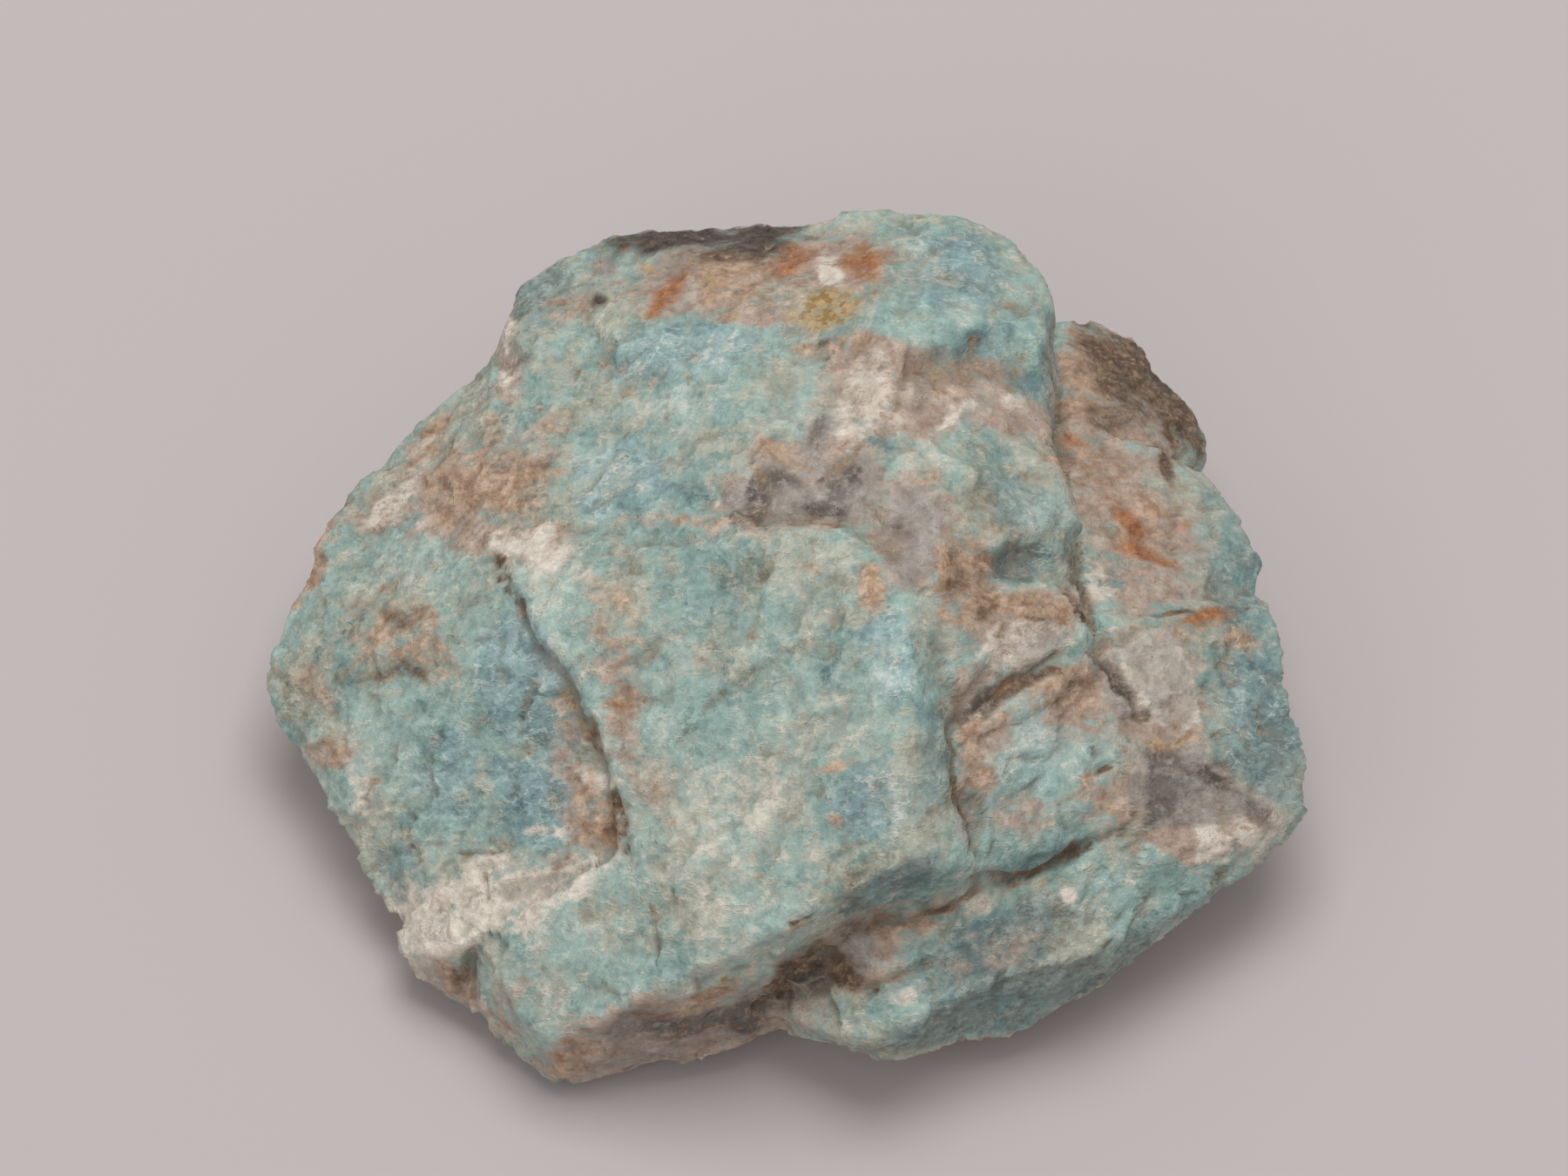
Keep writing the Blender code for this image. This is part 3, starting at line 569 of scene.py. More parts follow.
# Clefts: a depth, a half width and points across and up the face plane, in mm. Where the
# depth is below 0, the line stands proud.
CLEFTS = {
    "left seam": (0.35, 0.8, [(-18.6, -6.5), (-17.5, -9.5), (-16.5, -13), (-15, -16), (-15, -19)]),
    "left face, hook": (0.25, 0.6, [(-32.5, -5.5), (-30, -7), (-28.5, -9), (-28.5, -11)]),
    "left face, crest": (0.3, 0.6, [(-23.5, -5.8), (-20.5, -4.5), (-19.3, -5.5), (-18.5, -8)]),
    "left face, bow": (0.2, 0.5, [(-38, -7.5), (-36, -6), (-33.5, -4.5), (-31, -4)]),
    "big face, filled crease": (-0.3, 1.3, [(-11, -9), (-5, -4.6), (3, 2)]),
    "plateau foot": (0.5, 0.8, [
        (-24, 13), (-17, 11.5), (-12, 10.5), (-6, 11.3), (-3.5, 12), (2, 12.8), (7, 13),
    ]),
    "trough ridge": (-0.5, 0.5, [(2.5, 16), (4.5, 18.5), (6.5, 21.3)]),
    "trough ridge, right": (0.5, 0.5, [(3.4, 15.6), (5.5, 18.2), (7.4, 20.8)]),
    "scarp, high": (0.8, 0.6, [(18.5, 30.5), (21, 30.2), (23.6, 30.5)]),
    "scarp, low": (0.6, 0.5, [(22.3, 28.2), (25, 28.8)]),
    "brow hollow": (1.8, 2.4, [(19.5, 7.2), (23, 9.4)]),
    "brow dirt": (0.8, 1.8, [(16.5, 9), (16.2, 5), (18.5, 3.6)]),
    "brow end": (0.8, 0.9, [(27.6, 11), (27.2, 6), (28.8, 3)]),
    "groove wall": (1.3, 3.4, [(17.5, -5.4), (21.5, -2.6), (26.5, 0.8)]),
    "groove": (1.3, 1.1, [(16.3, -7.2), (21, -4.6), (24, -2.2), (27, -0.3)]),
    "quartz crevice": (1.1, 0.9, [(29.8, 2.5), (30.3, -0.5), (32.3, -3.4), (34.6, -6)]),
    "cube, left": (0.7, 0.7, [(15.8, -8), (16.2, -13), (17.4, -16), (18.5, -20)]),
    "cube, foot": (1.0, 0.8, [(18, -22), (23, -21.4), (27, -19.6), (29, -18)]),
    "cube, cross": (0.4, 0.7, [(27.3, -14), (30.7, -10.8)]),
    "wing streak": (0.4, 0.7, [(32.5, 4), (38, 4.1), (44.5, 4.6)]),
    "front cleft": (1.5, 0.8, [(4.4, -28.6), (0, -32.5), (-2.7, -34.6)]),
    "shield ledge": (0.4, 0.5, [(3.6, -23.2), (2.7, -25.2), (0.3, -25.9)]),
    "shield nick": (0.4, 0.4, [(4, -21), (4.7, -19.3), (7.5, -18)]),
    "shelf stripe": (0.9, 1.0, [(8.3, -32.6), (11, -31), (13.6, -29.8)]),
    "shelf seam": (0.6, 0.6, [(8, -26.3), (12, -25.8), (15.5, -24.6), (18.5, -22.6)]),
    "heel crevice": (0.9, 0.7, [(-30.3, -29.5), (-30.6, -33)]),
    "shield vein": (0.2, 0.4, [(-12.7, -24), (-12.5, -29), (-12, -31)]),
}


def face_position(places):
    """Where points are seen on the face plane: across it, and up it."""
    up = places[:, 1] * math.sin(FACE_LEAN) + (places[:, 2] - FACE_HEIGHT) * math.cos(FACE_LEAN)
    return np.stack([places[:, 0], up], axis=1)


def line_distance(position, line):
    """Distance from each position to a line through the given points."""
    nearest = np.full(len(position), np.inf)
    for start, end in zip(np.array(line[:-1], float), np.array(line[1:], float)):
        run = end - start
        share = np.clip((position - start) @ run / (run @ run), 0, 1)
        gap = np.linalg.norm(position - start - share[:, None] * run, axis=1)
        nearest = np.minimum(nearest, gap)
    return nearest


to_viewer = np.array([0, -math.cos(FACE_LEAN), math.sin(FACE_LEAN)])
for size, push, seed in WANDER:
    places = places + push * cloud_vector(places, size, seed)
outward = sheet.normals(places)
facing = np.clip(outward @ to_viewer * CLEFT_FACING, 0, 1)
face = face_position(places)
ragged_face = face + RAGGED_PUSH * cloud_vector(places, RAGGED_SIZE, RAGGED_SEED)[:, :2]
cleft_depth = np.zeros(len(places))
for depth, half_width, line in CLEFTS.values():
    cleft_depth += depth * np.clip(1 - line_distance(ragged_face, line) / half_width, 0, 1)
grain_bend = FLAKE_BEND * cloud_vector(places, FLAKE_BEND_SIZE, FLAKE_BEND_SEED)
grain_places = places @ FLAKE_GRAIN.T + grain_bend
relief = SWELL_HEIGHT * rough_cloud(places, SWELL_SIZE, SWELL_SEED)
for size, height, seed in FLAKES:
    relief += height * flakes(grain_places, size, seed)
relief -= cleft_depth * facing
relief *= np.clip(places[:, 2] / FLAT_FOOT, 0, 1)
places = places + outward * relief[:, None]
places = places + SMOOTHING * (sheet.neighbour_mean(places) - places)
places[:, 2] = np.maximum(places[:, 2], 0)
places[last_ring, 2] = 0

# The stone fills the solid's box exactly.
cad_low, cad_high = (np.array(corner) / MM for corner in cad_bounds)
low, high = places.min(axis=0), places.max(axis=0)
fit_scale = (cad_high - cad_low) / (high - low)
fit_shift = cad_low - low * fit_scale
fan_middle = places[last_ring].mean(axis=0, keepdims=True)
points = np.concatenate([places, fan_middle]) * fit_scale + fit_shift
fan = np.stack([last_ring, np.full(len(last_ring), len(places)), np.roll(last_ring, -1)], axis=1)

mesh = bpy.data.meshes.new("raw_amazonite")
mesh.from_pydata(points * MM, [], sheet.quads.tolist() + fan.tolist())
mesh.shade_smooth()
stone = bpy.data.objects.new("raw_amazonite", mesh)
bpy.context.scene.collection.objects.link(stone)


# ---------------------------------------------------------------------------------------------
# The minerals. Turquoise feldspar holds white albite and grey, partly smoky quartz, which grew
# with it. Weathering has left tan, brown, ochre and rust on its ledges and along its cracks,
# and a black crust on its top edge. Some patches are painted shade and light as well: deep teal,
# smoky grey, brown and black darken hollows, scarps, the front cleft and faces turned from the
# light, and pale patches lighten faces and an edge that the light falls on.

# Patches on the face plane, in mm: across, up and two half widths, then a share and a turn in
# degrees, which are left out at the end where they are 1 and 0.
PATCHES = {
    "blue": [
        (9, -14, 5.4, 4, 0.7), (9, 0, 2.6, 4, 0.6), (-15, 17, 5, 3, 0.9), (45, -5, 4, 6, 0.7),
        (21.5, 9, 3.4, 2, 0.9, 28), (-8, 24, 7, 4, 0.3), (36, 5.6, 3.4, 1, 0.5, 10),
        (-36, 9, 4, 3, 0.35), (24, -10, 4.4, 4, 0.5), (-10, -30, 6, 3, 0.35, 15),
    ],
    # Deeper teal. It is also painted shade in the brow hollow, on the scarp under the lobe, in the
    # groove and under the cube and the shield. It also paints shade on faces turned from the light:
    # the fan, the shield's side and the lip's front.
    "deep_and_shaded": [
        (30, 20, 3, 4, 0.4), (-22, -7.5, 3.6, 3.2, 0.75), (-23.5, -15.5, 4.4, 3.6, 0.8, 20),
        (-31, -15, 3, 1.5, 0.7), (-36.5, -16.5, 1.3, 1, 0.9), (-31.5, -9, 2.4, 2.4, 0.7),
        (-26, -3, 4.4, 5.5, 0.5, 10), (-5, 6.5, 3.6, 2.6, 0.5, 20), (22.5, 14, 5, 4, 0.7),
        (-40, 1, 7, 6, 0.15), (-12, 3, 3, 4, 0.3), (-9, 15.5, 3.4, 1.6, 0.55, -20),
        (-25, 5, 1.3, 0.9, 0.8), (5, -2.5, 1.2, 1.8, 0.7), (17, 29, 4.4, 1.9, 1, 15),
        (19, 31.6, 3.4, 1, 1, -5), (23.5, 26.8, 1.8, 1.1), (21.5, 8.6, 3.6, 2, 1, 28),
        (25.5, 27, 1, 7, 0.6, 5), (9.5, 20.2, 1.7, 0.8, 1, -25), (23.5, -19.7, 4.8, 1.3, 0.9, 24),
        (11, -31.4, 2.8, 0.9, 0.8, 32), (-23, 36, 4, 4.4, 0.9, 20), (36, -25.5, 6, 1.2, 0.7, 30),
        (-37, -21.5, 1.5, 3.4, 0.75, 20), (46, -6, 5, 8, 0.9), (14.5, -9, 1.8, 8, 0.75),
        (20, -27.5, 9, 3, 1, 24), (18, -6, 2, 1.4, 0.9, 20), (10, -22.4, 5, 2.4, 0.9, 26),
        (-46, -5, 2.6, 3, 0.5), (17, 37, 3, 3, 0.6), (28, -16, 4, 1.2, 0.6, 28),
        (25, 20.5, 2, 4, 0.4), (-23, 21.5, 2.4, 1.6, 0.5), (44, 6, 3.4, 9, 0.85),
    ],
    # Paler feldspar. It is also painted light on the middle and foot of the shield face and on the
    # left face, where the light falls, and on the lit edge along the left seam.
    "pale_and_lit": [
        (-27, -1, 3, 2.4, 0.5), (-9.7, 25.6, 1.5, 2.6, 0.6, 35), (12.8, 4.5, 1.5, 2.6, 0.7),
        (9.4, -3.6, 1.8, 4, 0.8), (-17.4, -8, 1.5, 3, 0.9), (-6, -24.5, 7, 4, 0.8),
        (2, 26, 2, 2, 0.4), (-14, -13, 1.6, 4.4, 0.8), (15.5, 39.5, 2, 1.2, 0.6),
        (17, 33.5, 1.6, 0.9, 0.9), (-20, -33, 7, 5, 0.6, 10), (-39, -16, 2, 8, 0.7, 15),
        (35.5, 5.7, 3.2, 0.9, 0.6, 10), (32, -20.5, 4, 2.6, 0.85, 30), (-8, 29, 6, 3, 0.4),
        (24, -10, 4.6, 4), (27.5, 3, 1.6, 2.2, 0.7), (-22.8, 6.5, 1.2, 3.5, 0.8, 20),
        (-5, -15, 6, 5, 0.9), (-1, -20, 5, 3, 0.6, 20), (-35, 9.5, 4.4, 3, 0.8),
        (-16, 17, 3, 2, 0.5), (-14, 25, 3, 2, 0.5), (-3, 1.4, 2.6, 2.6, 0.8),
        (3, 6, 2.6, 4, 0.4, -15), (-11, -34, 5, 1.4, 0.5, 18), (-38, -9, 3, 3, 0.3),
        (-25.5, -12.5, 2, 1.4, 0.4), (-22, -19, 3, 1.4, 0.5), (-1, -9, 5, 3, 0.3),
    ],
    "green": [
        (-45, -3, 4, 5.5, 0.9), (-38, 3, 6, 6, 0.7), (-23, 35.5, 5, 5, 1, 30),
        (41, 10, 4, 8, 0.8, 15), (4, 5, 3, 4.5, 0.8, -10), (-38.5, -18, 1.8, 6, 0.9, 12),
        (20, 14, 7, 5), (20, -27, 9, 4, 0.9, 20), (-25, 23.5, 4, 3, 0.5), (14, -10, 2, 7, 0.6),
        (4, 32.5, 3, 1.2, 0.7), (-16, 22, 5, 3, 0.4), (45, -8, 4, 6, 0.3), (28, -16, 4, 3, 0.5),
        (-27, -34, 2.4, 6, 0.9, -28), (-30, 5, 4, 4, 0.2), (-12, -8, 4, 10, 0.3),
        (-2, -20, 6, 4, 0.4), (-3, 20, 3, 2, 0.5),
    ],
    "rose": [
        (20, -28, 9, 3, 0.45, 24), (-38, 14, 6, 2, 0.8, 8), (-29.6, 12.6, 6, 2.2, 0.85, -4),
        (35, 12, 6, 5, 0.75), (-19.6, -13, 2, 5, 0.7, 10), (-20.5, -6, 1.4, 4, 0.6, 20),
        (4, 19.6, 5, 2, 0.9), (-1, 19.4, 3, 1.4, 0.8, -20), (21, 23, 5, 3, 0.8),
        (13, 25.3, 9, 4.4, 0.9, 4), (8, 28, 4.5, 4, 0.9), (-4.5, 36.6, 13, 3.2, 0.9, 3),
        (4, 37.5, 6.5, 3.6, 0.95), (31, 18, 5, 8, 0.9, 10), (34, 6.6, 6, 3, 0.8),
        (22, 3, 7, 3.4, 0.9, 8), (27.6, -4, 3.6, 3.4, 0.9), (35.5, -5, 5, 7, 0.9),
        (40.5, -15, 6.5, 3.6, 0.9, -8), (-31, 16.8, 9, 3.6, 0.85, 20), (-25, 11, 5, 2.6, 0.9, -8),
        (-12, -38, 15, 4, 1, 14), (7, -29, 5, 4, 0.8, 20), (-32.5, -33, 4.4, 4, 0.9),
        (2, 15.4, 9, 3.4, 0.95, 4), (12, 12, 3.4, 6, 0.95), (17.6, -12, 1.8, 6, 0.65),
        (33, -14, 3, 4, 0.7), (-24, -21, 9, 2.4, 0.55, 8), (-27.5, -35.5, 2, 5.5, 0.6, -30),
        (12, -25.4, 6, 1.2, 0.7, 18), (0, -32, 5, 1.6, 0.9, 38), (36, 22, 4, 5, 0.9),
        (-19.5, 33.8, 4, 1.8, 0.55, 10), (-26.3, 28, 1.8, 3.4, 0.85),
        (-45.5, 9.5, 1.4, 5, 0.8, -18), (-44, -9.4, 3, 1.4, 0.7, -35), (30, 27, 4, 6, 0.9),
        (16.5, 6.5, 2.4, 4.5, 0.9), (-10, 11.8, 7, 1.1, 0.6, -4),
        (-17.6, -16.5, 2.4, 3.4, 0.7, 10), (-36.5, 2, 5.4, 4, 0.5), (-15.6, -4, 2.6, 9, 0.6, 12),
        (-12.4, -13, 3, 2.4, 0.5), (21.5, -15.5, 4, 2.4, 0.65), (20, -8, 3, 2, 0.85, 20),
        (31, -14, 4, 3, 0.6), (20.5, -4.2, 5, 1.3, 0.8, 32), (-9, -27, 1, 4, 0.3),
        (-44.6, -3, 3, 3, 0.5), (38, 16, 3, 4, 0.5, 30), (-40.5, -12.4, 2, 5, 0.45, 20),
        (-2, 33, 4, 1.4, 0.85),
    ],
    "albite": [
        (-34.6, 20.2, 4, 1.2, 0.75, 38), (-33, -25.7, 4.4, 4), (-26, -23, 6.4, 3.4, 0.9, 10),
        (36, -3, 3.4, 4.4, 0.55, -20), (-18.5, -20.5, 5, 1.8, 0.5, 15),
        (-22, -27, 6, 1.6, 0.4, 10), (-25.6, 11.4, 5, 2.4, 0.62, -12), (-22.3, 9.6, 2.2, 1.8, 0.8),
        (-38, 14, 5, 1.7, 0.6, 8), (-35.4, 16.4, 1.6, 1.4, 0.8), (-26, 31.2, 1.3, 1.7, 0.9),
        (-26.5, 27.3, 1.6, 1.2, 0.6), (8, 25, 3.6, 4.6, 0.7, -15), (16.5, 23, 3.4, 0.8, 0.6, 8),
        (-41.4, -12, 1.2, 4.4, 0.55, 20), (-45, -9, 1.6, 0.9, 0.6, -35), (30, 6.4, 2.6, 2.3, 0.65),
        (-17.6, -12.4, 1.8, 1.5, 0.8), (-29.5, -35, 1, 6, 0.45, -28),
        (11.5, -33, 1, 3.4, 0.5, -52), (17.8, -24.2, 1.7, 1, 0.75, 30),
        (43.5, -18, 4.6, 2.2, 0.7, 28), (27, -23.2, 0.8, 0.8), (20, -4, 1, 0.6, 0.6),
        (33.5, -13, 1, 3, 0.5), (-8.5, -40, 9, 0.6, 0.7, 14), (4.4, 36.6, 1.3, 2.4, 0.7),
        (0.6, 34, 2, 1, 0.5), (-9, 35.2, 0.9, 1.4, 0.7), (21, 24.6, 1.6, 1.4, 0.5),
        (2.6, -18.8, 2, 1, 0.4, 30), (4.8, 18, 0.5, 3.4, 0.8, -35),
        (-6.6, 15.4, 0.5, 2.8, 0.6, 32), (-21.5, -17, 3, 0.8, 0.5), (-19, 7.5, 1.2, 3, 0.45),
        (-4.5, -23.6, 4, 2, 0.45, 15), (13.5, 19, 2, 1, 0.4),
    ],
    "quartz": [
        (-0.5, 14.6, 5.2, 2.4, 1, 6), (5.5, 16.2, 3.4, 3, 1, 40), (12.2, 12, 2.6, 5, 0.95),
        (8.5, 27, 1.6, 3, 0.4), (3.6, 21.4, 1.5, 2.6, 0.8, -20), (35.6, -0.8, 3.3, 3.5, 0.5, -20),
        (36, -12, 3, 4.4), (-10.5, 36, 2.4, 3, 0.6), (15, 24.8, 3.6, 1.8, 0.3),
        (22.5, 23.5, 2.2, 3, 0.4), (6.2, -28.4, 2.2, 2.4, 0.9), (-1.5, -31.4, 4.4, 1.5, 0.6, 36),
        (-17, 38, 1.8, 1.2, 0.8), (38, 9.5, 3, 2.6, 0.45), (24, 0.6, 3, 0.8, 0.5, 20),
        (31.6, -3.4, 1.4, 3.6, 0.8, 35), (-33, -32, 3.4, 2.8, 0.6), (-12, -37, 11, 2.6, 0.75, 14),
        (10, 8, 1.4, 1.2, 0.6), (-25, -22, 3.4, 1.2, 0.5, 10),
    ],
    # Smoky quartz. It is also painted shade on the scarp at the trough's left end and in the front
    # cleft.
    "smoky_and_shaded": [
        (-3, 15, 1, 2.6, 0.95, -20), (-4.6, 12.6, 1.2, 1, 0.9), (3.8, 14, 2.2, 0.9, 0.95),
        (6.2, 16.2, 1.2, 2.4, 0.8, -55), (35.6, -12.4, 1.6, 3.6, 0.5),
        (41.5, -12.2, 3.2, 0.6, 0.75, -28), (45, -14.6, 1.4, 0.9, 0.7, -30),
        (31.4, -2.6, 0.7, 3.4, 0.9, 38), (34.4, -5.8, 1, 0.6, 0.9),
        (-24.5, 29.8, 1.6, 0.9, 0.6, -10), (0.6, 17, 1.6, 1.2, 0.7), (3.2, 21.6, 0.8, 2, 0.7, -20),
        (12.8, 25.4, 1.5, 1.3, 0.5), (1, -31.4, 3, 0.8, 0.9, 38), (-26.5, 28.6, 2, 0.5, 0.5, 20),
        (-7, -35, 7, 1.6, 0.75, 18), (-13, -37, 5, 1.2, 0.5, 14), (2, -32, 4, 2, 0.7, 30),
        (19.5, -4.4, 4.4, 1.3, 0.75, 32), (18, -6.2, 2.4, 1.2, 0.9, 25),
    ],
    "tan": [
        (20, 11.6, 4, 1.2, 0.5, 20), (23, 18, 2, 1, 0.4), (-13, -9, 1.4, 5, 0.4, 14),
        (-15, 4, 1.4, 4, 0.5, 12), (-20.5, 33.6, 4, 2, 0.45), (-28, 17, 6, 2.8, 0.95),
        (-34.5, 20.8, 5, 1.7, 0.6, 38), (-27.5, 22, 2, 3, 0.5), (-21.6, 21.6, 1.6, 2, 0.55),
        (-4, 37, 4.4, 2.4, 0.95), (-2.4, 34.6, 3, 1.6, 0.75), (4.5, 30.8, 3.8, 1.4, 0.7),
        (-45.2, 9, 1.1, 4.6, 0.8, -18), (-37, 4, 4.6, 1.4, 0.5, 8),
        (-36.5, -0.4, 5, 1.3, 0.5, -20), (-45.6, -2.8, 2.6, 1.8, 0.4), (-43, -9, 2.4, 1.8, 0.55),
        (-15.6, -4.3, 2, 2, 0.7, -20), (-17, 3.6, 1.3, 4.4, 0.55, 14),
        (8.2, 6.2, 1, 2.6, 0.95, -8), (16.4, 6.6, 2, 3.8, 0.95), (22, 4.6, 6.4, 1.6, 0.7),
        (-17.6, -16.6, 2.2, 3, 0.7, 10), (-18.6, -9.8, 1, 1.5, 0.6), (27.6, -3.6, 2.6, 2.4, 0.7),
        (17.6, -10.5, 1.3, 3.6, 0.65), (30.4, 18, 4, 5.4, 0.5), (28.4, 26.5, 2.4, 5.8, 0.8),
        (34, 12.4, 4.2, 3.2, 0.65, -40), (36, 2, 3.8, 1, 0.6), (43.3, 0.8, 2, 1.3, 0.8),
        (-12, -37.4, 12, 3, 0.3, 14), (-20, -38.7, 3, 1.4, 0.8, 20), (-8, -33, 6.4, 0.8, 0.75, 30),
        (11.5, -26, 4.6, 0.9, 0.7, 14), (9, -30, 2.8, 2.6, 0.3), (29, -13, 1.8, 1.1, 0.7, 30),
        (-1, 19.7, 3, 1.1, 0.6, -30), (-12, 33, 2.4, 0.8, 0.5), (-31, 13.8, 4, 0.9, 0.6, -6),
        (-7, 12, 6, 0.8, 0.6, -5), (37, -8, 2.6, 0.8, 0.75, -8), (-12.6, -12.6, 2, 2, 0.5),
        (-31.3, -31.5, 1.4, 2.2, 0.8), (42, 7.4, 2.2, 1.8, 0.3), (-26, -31.5, 1.4, 2, 0.3),
        (32, -15, 2.4, 3, 0.5), (27.2, 20.8, 2, 2.4, 0.8), (38, 14.5, 1.6, 2.4, 0.5),
        (26, -14.5, 3, 1, 0.3, 30), (-3, 1.6, 0.7, 1, 0.6), (15, -16, 1.2, 1.8, 0.4),
        (5, 19.3, 0.4, 2.6, 0.6, -35), (2.6, 12.2, 5, 0.5, 0.5, 3), (16, 25, 3.4, 1.8, 0.4, 5),
        (9, 24.4, 3, 3, 0.35), (13.4, 17.4, 1.4, 1.6, 0.5), (16, 12, 1.4, 3, 0.5),
        (4.6, -10.6, 1.8, 0.5, 0.7, 32), (7, -10, 0.5, 1, 0.6), (5, -16, 0.8, 0.8, 0.6),
        (3.6, 1.2, 2, 0.4, 0.6, 25), (-7.6, -0.6, 1, 1, 0.6), (3, 8.6, 1.6, 0.5, 0.7, -20),
        (-3, -19.6, 1, 0.6, 0.5), (1.4, -26, 3, 0.4, 0.6, 30), (-10.6, -16, 1, 0.5, 0.5),
    ],
    # Brown stains; the long patch along the front cleft is painted shadow.
    "brown": [
        (16, 6, 1.6, 3, 0.45), (34, 27.2, 7.2, 4, 0.95, -38), (38.5, 22.4, 2.6, 3.8, 0.95, 15),
        (31, 23.6, 2.2, 1.4, 0.6, -30), (15.6, 5.4, 1.1, 2.2, 0.6),
        (-27.6, 18.8, 2, 0.7, 0.6, -20), (-22.4, 18.3, 1.1, 0.7, 0.6), (-5, 38.8, 6, 1.4, 0.7, 6),
        (28, -3, 1.2, 0.9, 0.6), (5, -30.8, 2.4, 1.8, 0.9), (5.6, -27, 1.6, 0.9, 0.6),
        (-16.6, -16.8, 1.1, 1.6, 0.6, 10), (18.6, 4, 1.3, 0.6, 0.6), (27.3, -19, 0.8, 0.6, 0.9),
        (-27, 9, 0.4, 0.6, 0.9), (-27, 7.2, 0.5, 0.4, 0.9), (-26, 6, 0.9, 0.3, 0.9, -20),
        (-31.2, -31.2, 0.6, 1.8, 0.7), (8.7, -32.6, 0.5, 0.4, 0.9),
        (36.4, 18.4, 0.7, 2.4, 0.8, 20), (4.6, 30.9, 1.2, 0.5, 0.9, 20), (24, 3.4, 1.5, 0.4, 0.6),
        (-37, -1.4, 3.6, 1, 0.6, -15), (-36, 4, 3.6, 1, 0.55), (-13, -35.4, 6.4, 0.9, 0.5, 16),
        (0.5, -31, 4.4, 1.2, 0.9, 38), (30.5, 19.6, 3, 3.4, 0.35), (-15.4, -3.6, 1, 0.7, 0.5),
        (1, 34.6, 1.4, 0.6, 0.4), (23.4, -2.9, 4.4, 0.9, 0.88, 33),
    ],
    "rust": [
        (0.8, 38.3, 2.2, 1.7), (7.6, 37.6, 1.8, 1.8, 0.95, -10), (-11.4, 34.8, 2.4, 1, 1, 38),
        (8.7, 35.2, 0.6, 1, 0.6), (33, 12.6, 1, 3, 0.9, 38), (34.3, 9.6, 3, 0.7, 0.9, -24),
        (27.2, 21.2, 1.8, 0.8, 0.6, -30), (-15.3, 39.5, 0.7, 0.6, 0.8), (40.2, 3.2, 3, 1, 0.85, 5),
        (36, 13, 3, 2.4, 0.35, 30), (31, 15, 1, 3, 0.4, 35), (29, 19.6, 1.6, 2.4, 0.3),
        (38.4, 12.2, 1, 0.6, 0.5, -30), (-15.6, -4.6, 1.3, 0.6, 0.5, -20),
        (-16.8, -17.4, 0.9, 1, 0.55), (-15.3, -15.6, 0.3, 1.1, 0.6), (-7, -36, 3.4, 0.4, 0.4, 18),
        (-21.3, -38.7, 0.5, 0.8, 0.7), (-5, 35.4, 2.4, 0.8, 0.4),
        (-19.8, -4.5, 0.7, 0.3, 0.8, -20), (-34, 21.5, 2.4, 0.6, 0.3, 38),
        (43.5, 3, 1.4, 0.4, 0.4), (15.6, 7, 0.7, 1.6, 0.4),
    ],
    "ochre": [
        (7.8, 38, 1.8, 2, 0.6), (3.6, 33.6, 2.8, 1.1, 0.95, 10), (-9, 26.3, 0.4, 1, 0.7, 20),
        (-12.7, -24.6, 0.4, 0.9, 0.7), (-6, -31, 2.4, 0.3, 0.7, 32), (-12.8, 37.2, 1.2, 0.7, 0.5),
        (-7, 35.6, 0.7, 1.8, 0.6, 10), (-2.4, -21.6, 0.5, 0.5, 0.7),
        (22.5, -21.8, 3.2, 0.3, 0.7, 8), (36, -7.8, 1.8, 0.3, 0.6, -8),
        (20.6, 10.8, 2.4, 0.5, 0.4, 10), (-33.3, 8.5, 0.4, 0.4, 0.7), (2.7, 32.2, 2, 0.7, 0.5),
        (8.4, 7.2, 0.7, 1.2, 0.4), (-3.6, 32.6, 2, 0.6, 0.5), (-11, 14, 1, 0.5, 0.4),
        (0.5, 36, 2, 1.4, 0.35), (-20.6, 19, 1.4, 1, 0.35),
    ],
    # Black crust; the patch in the front cleft is painted shadow.
    "black": [
        (-17.9, 34.4, 0.9, 0.8), (-10.6, 40.4, 7, 1.5, 1, 3), (-3, 41.4, 5, 1.6, 1, 8),
        (-3.6, 40.6, 3.6, 1.6, 1, 8), (2, 40.8, 4, 0.5, 0.6, 4), (23, 39.2, 1.6, 0.8, 0.5, -40),
        (29.2, 32.6, 2, 0.7, 0.6, -22), (35.5, 26.8, 1.8, 0.8, 0.6, -42),
        (1.2, -31.3, 2.6, 0.5, 0.9, 38), (38, 25, 1.8, 0.7, 0.4, -45), (30.5, -1, 0.3, 2, 0.6, 10),
    ],
}

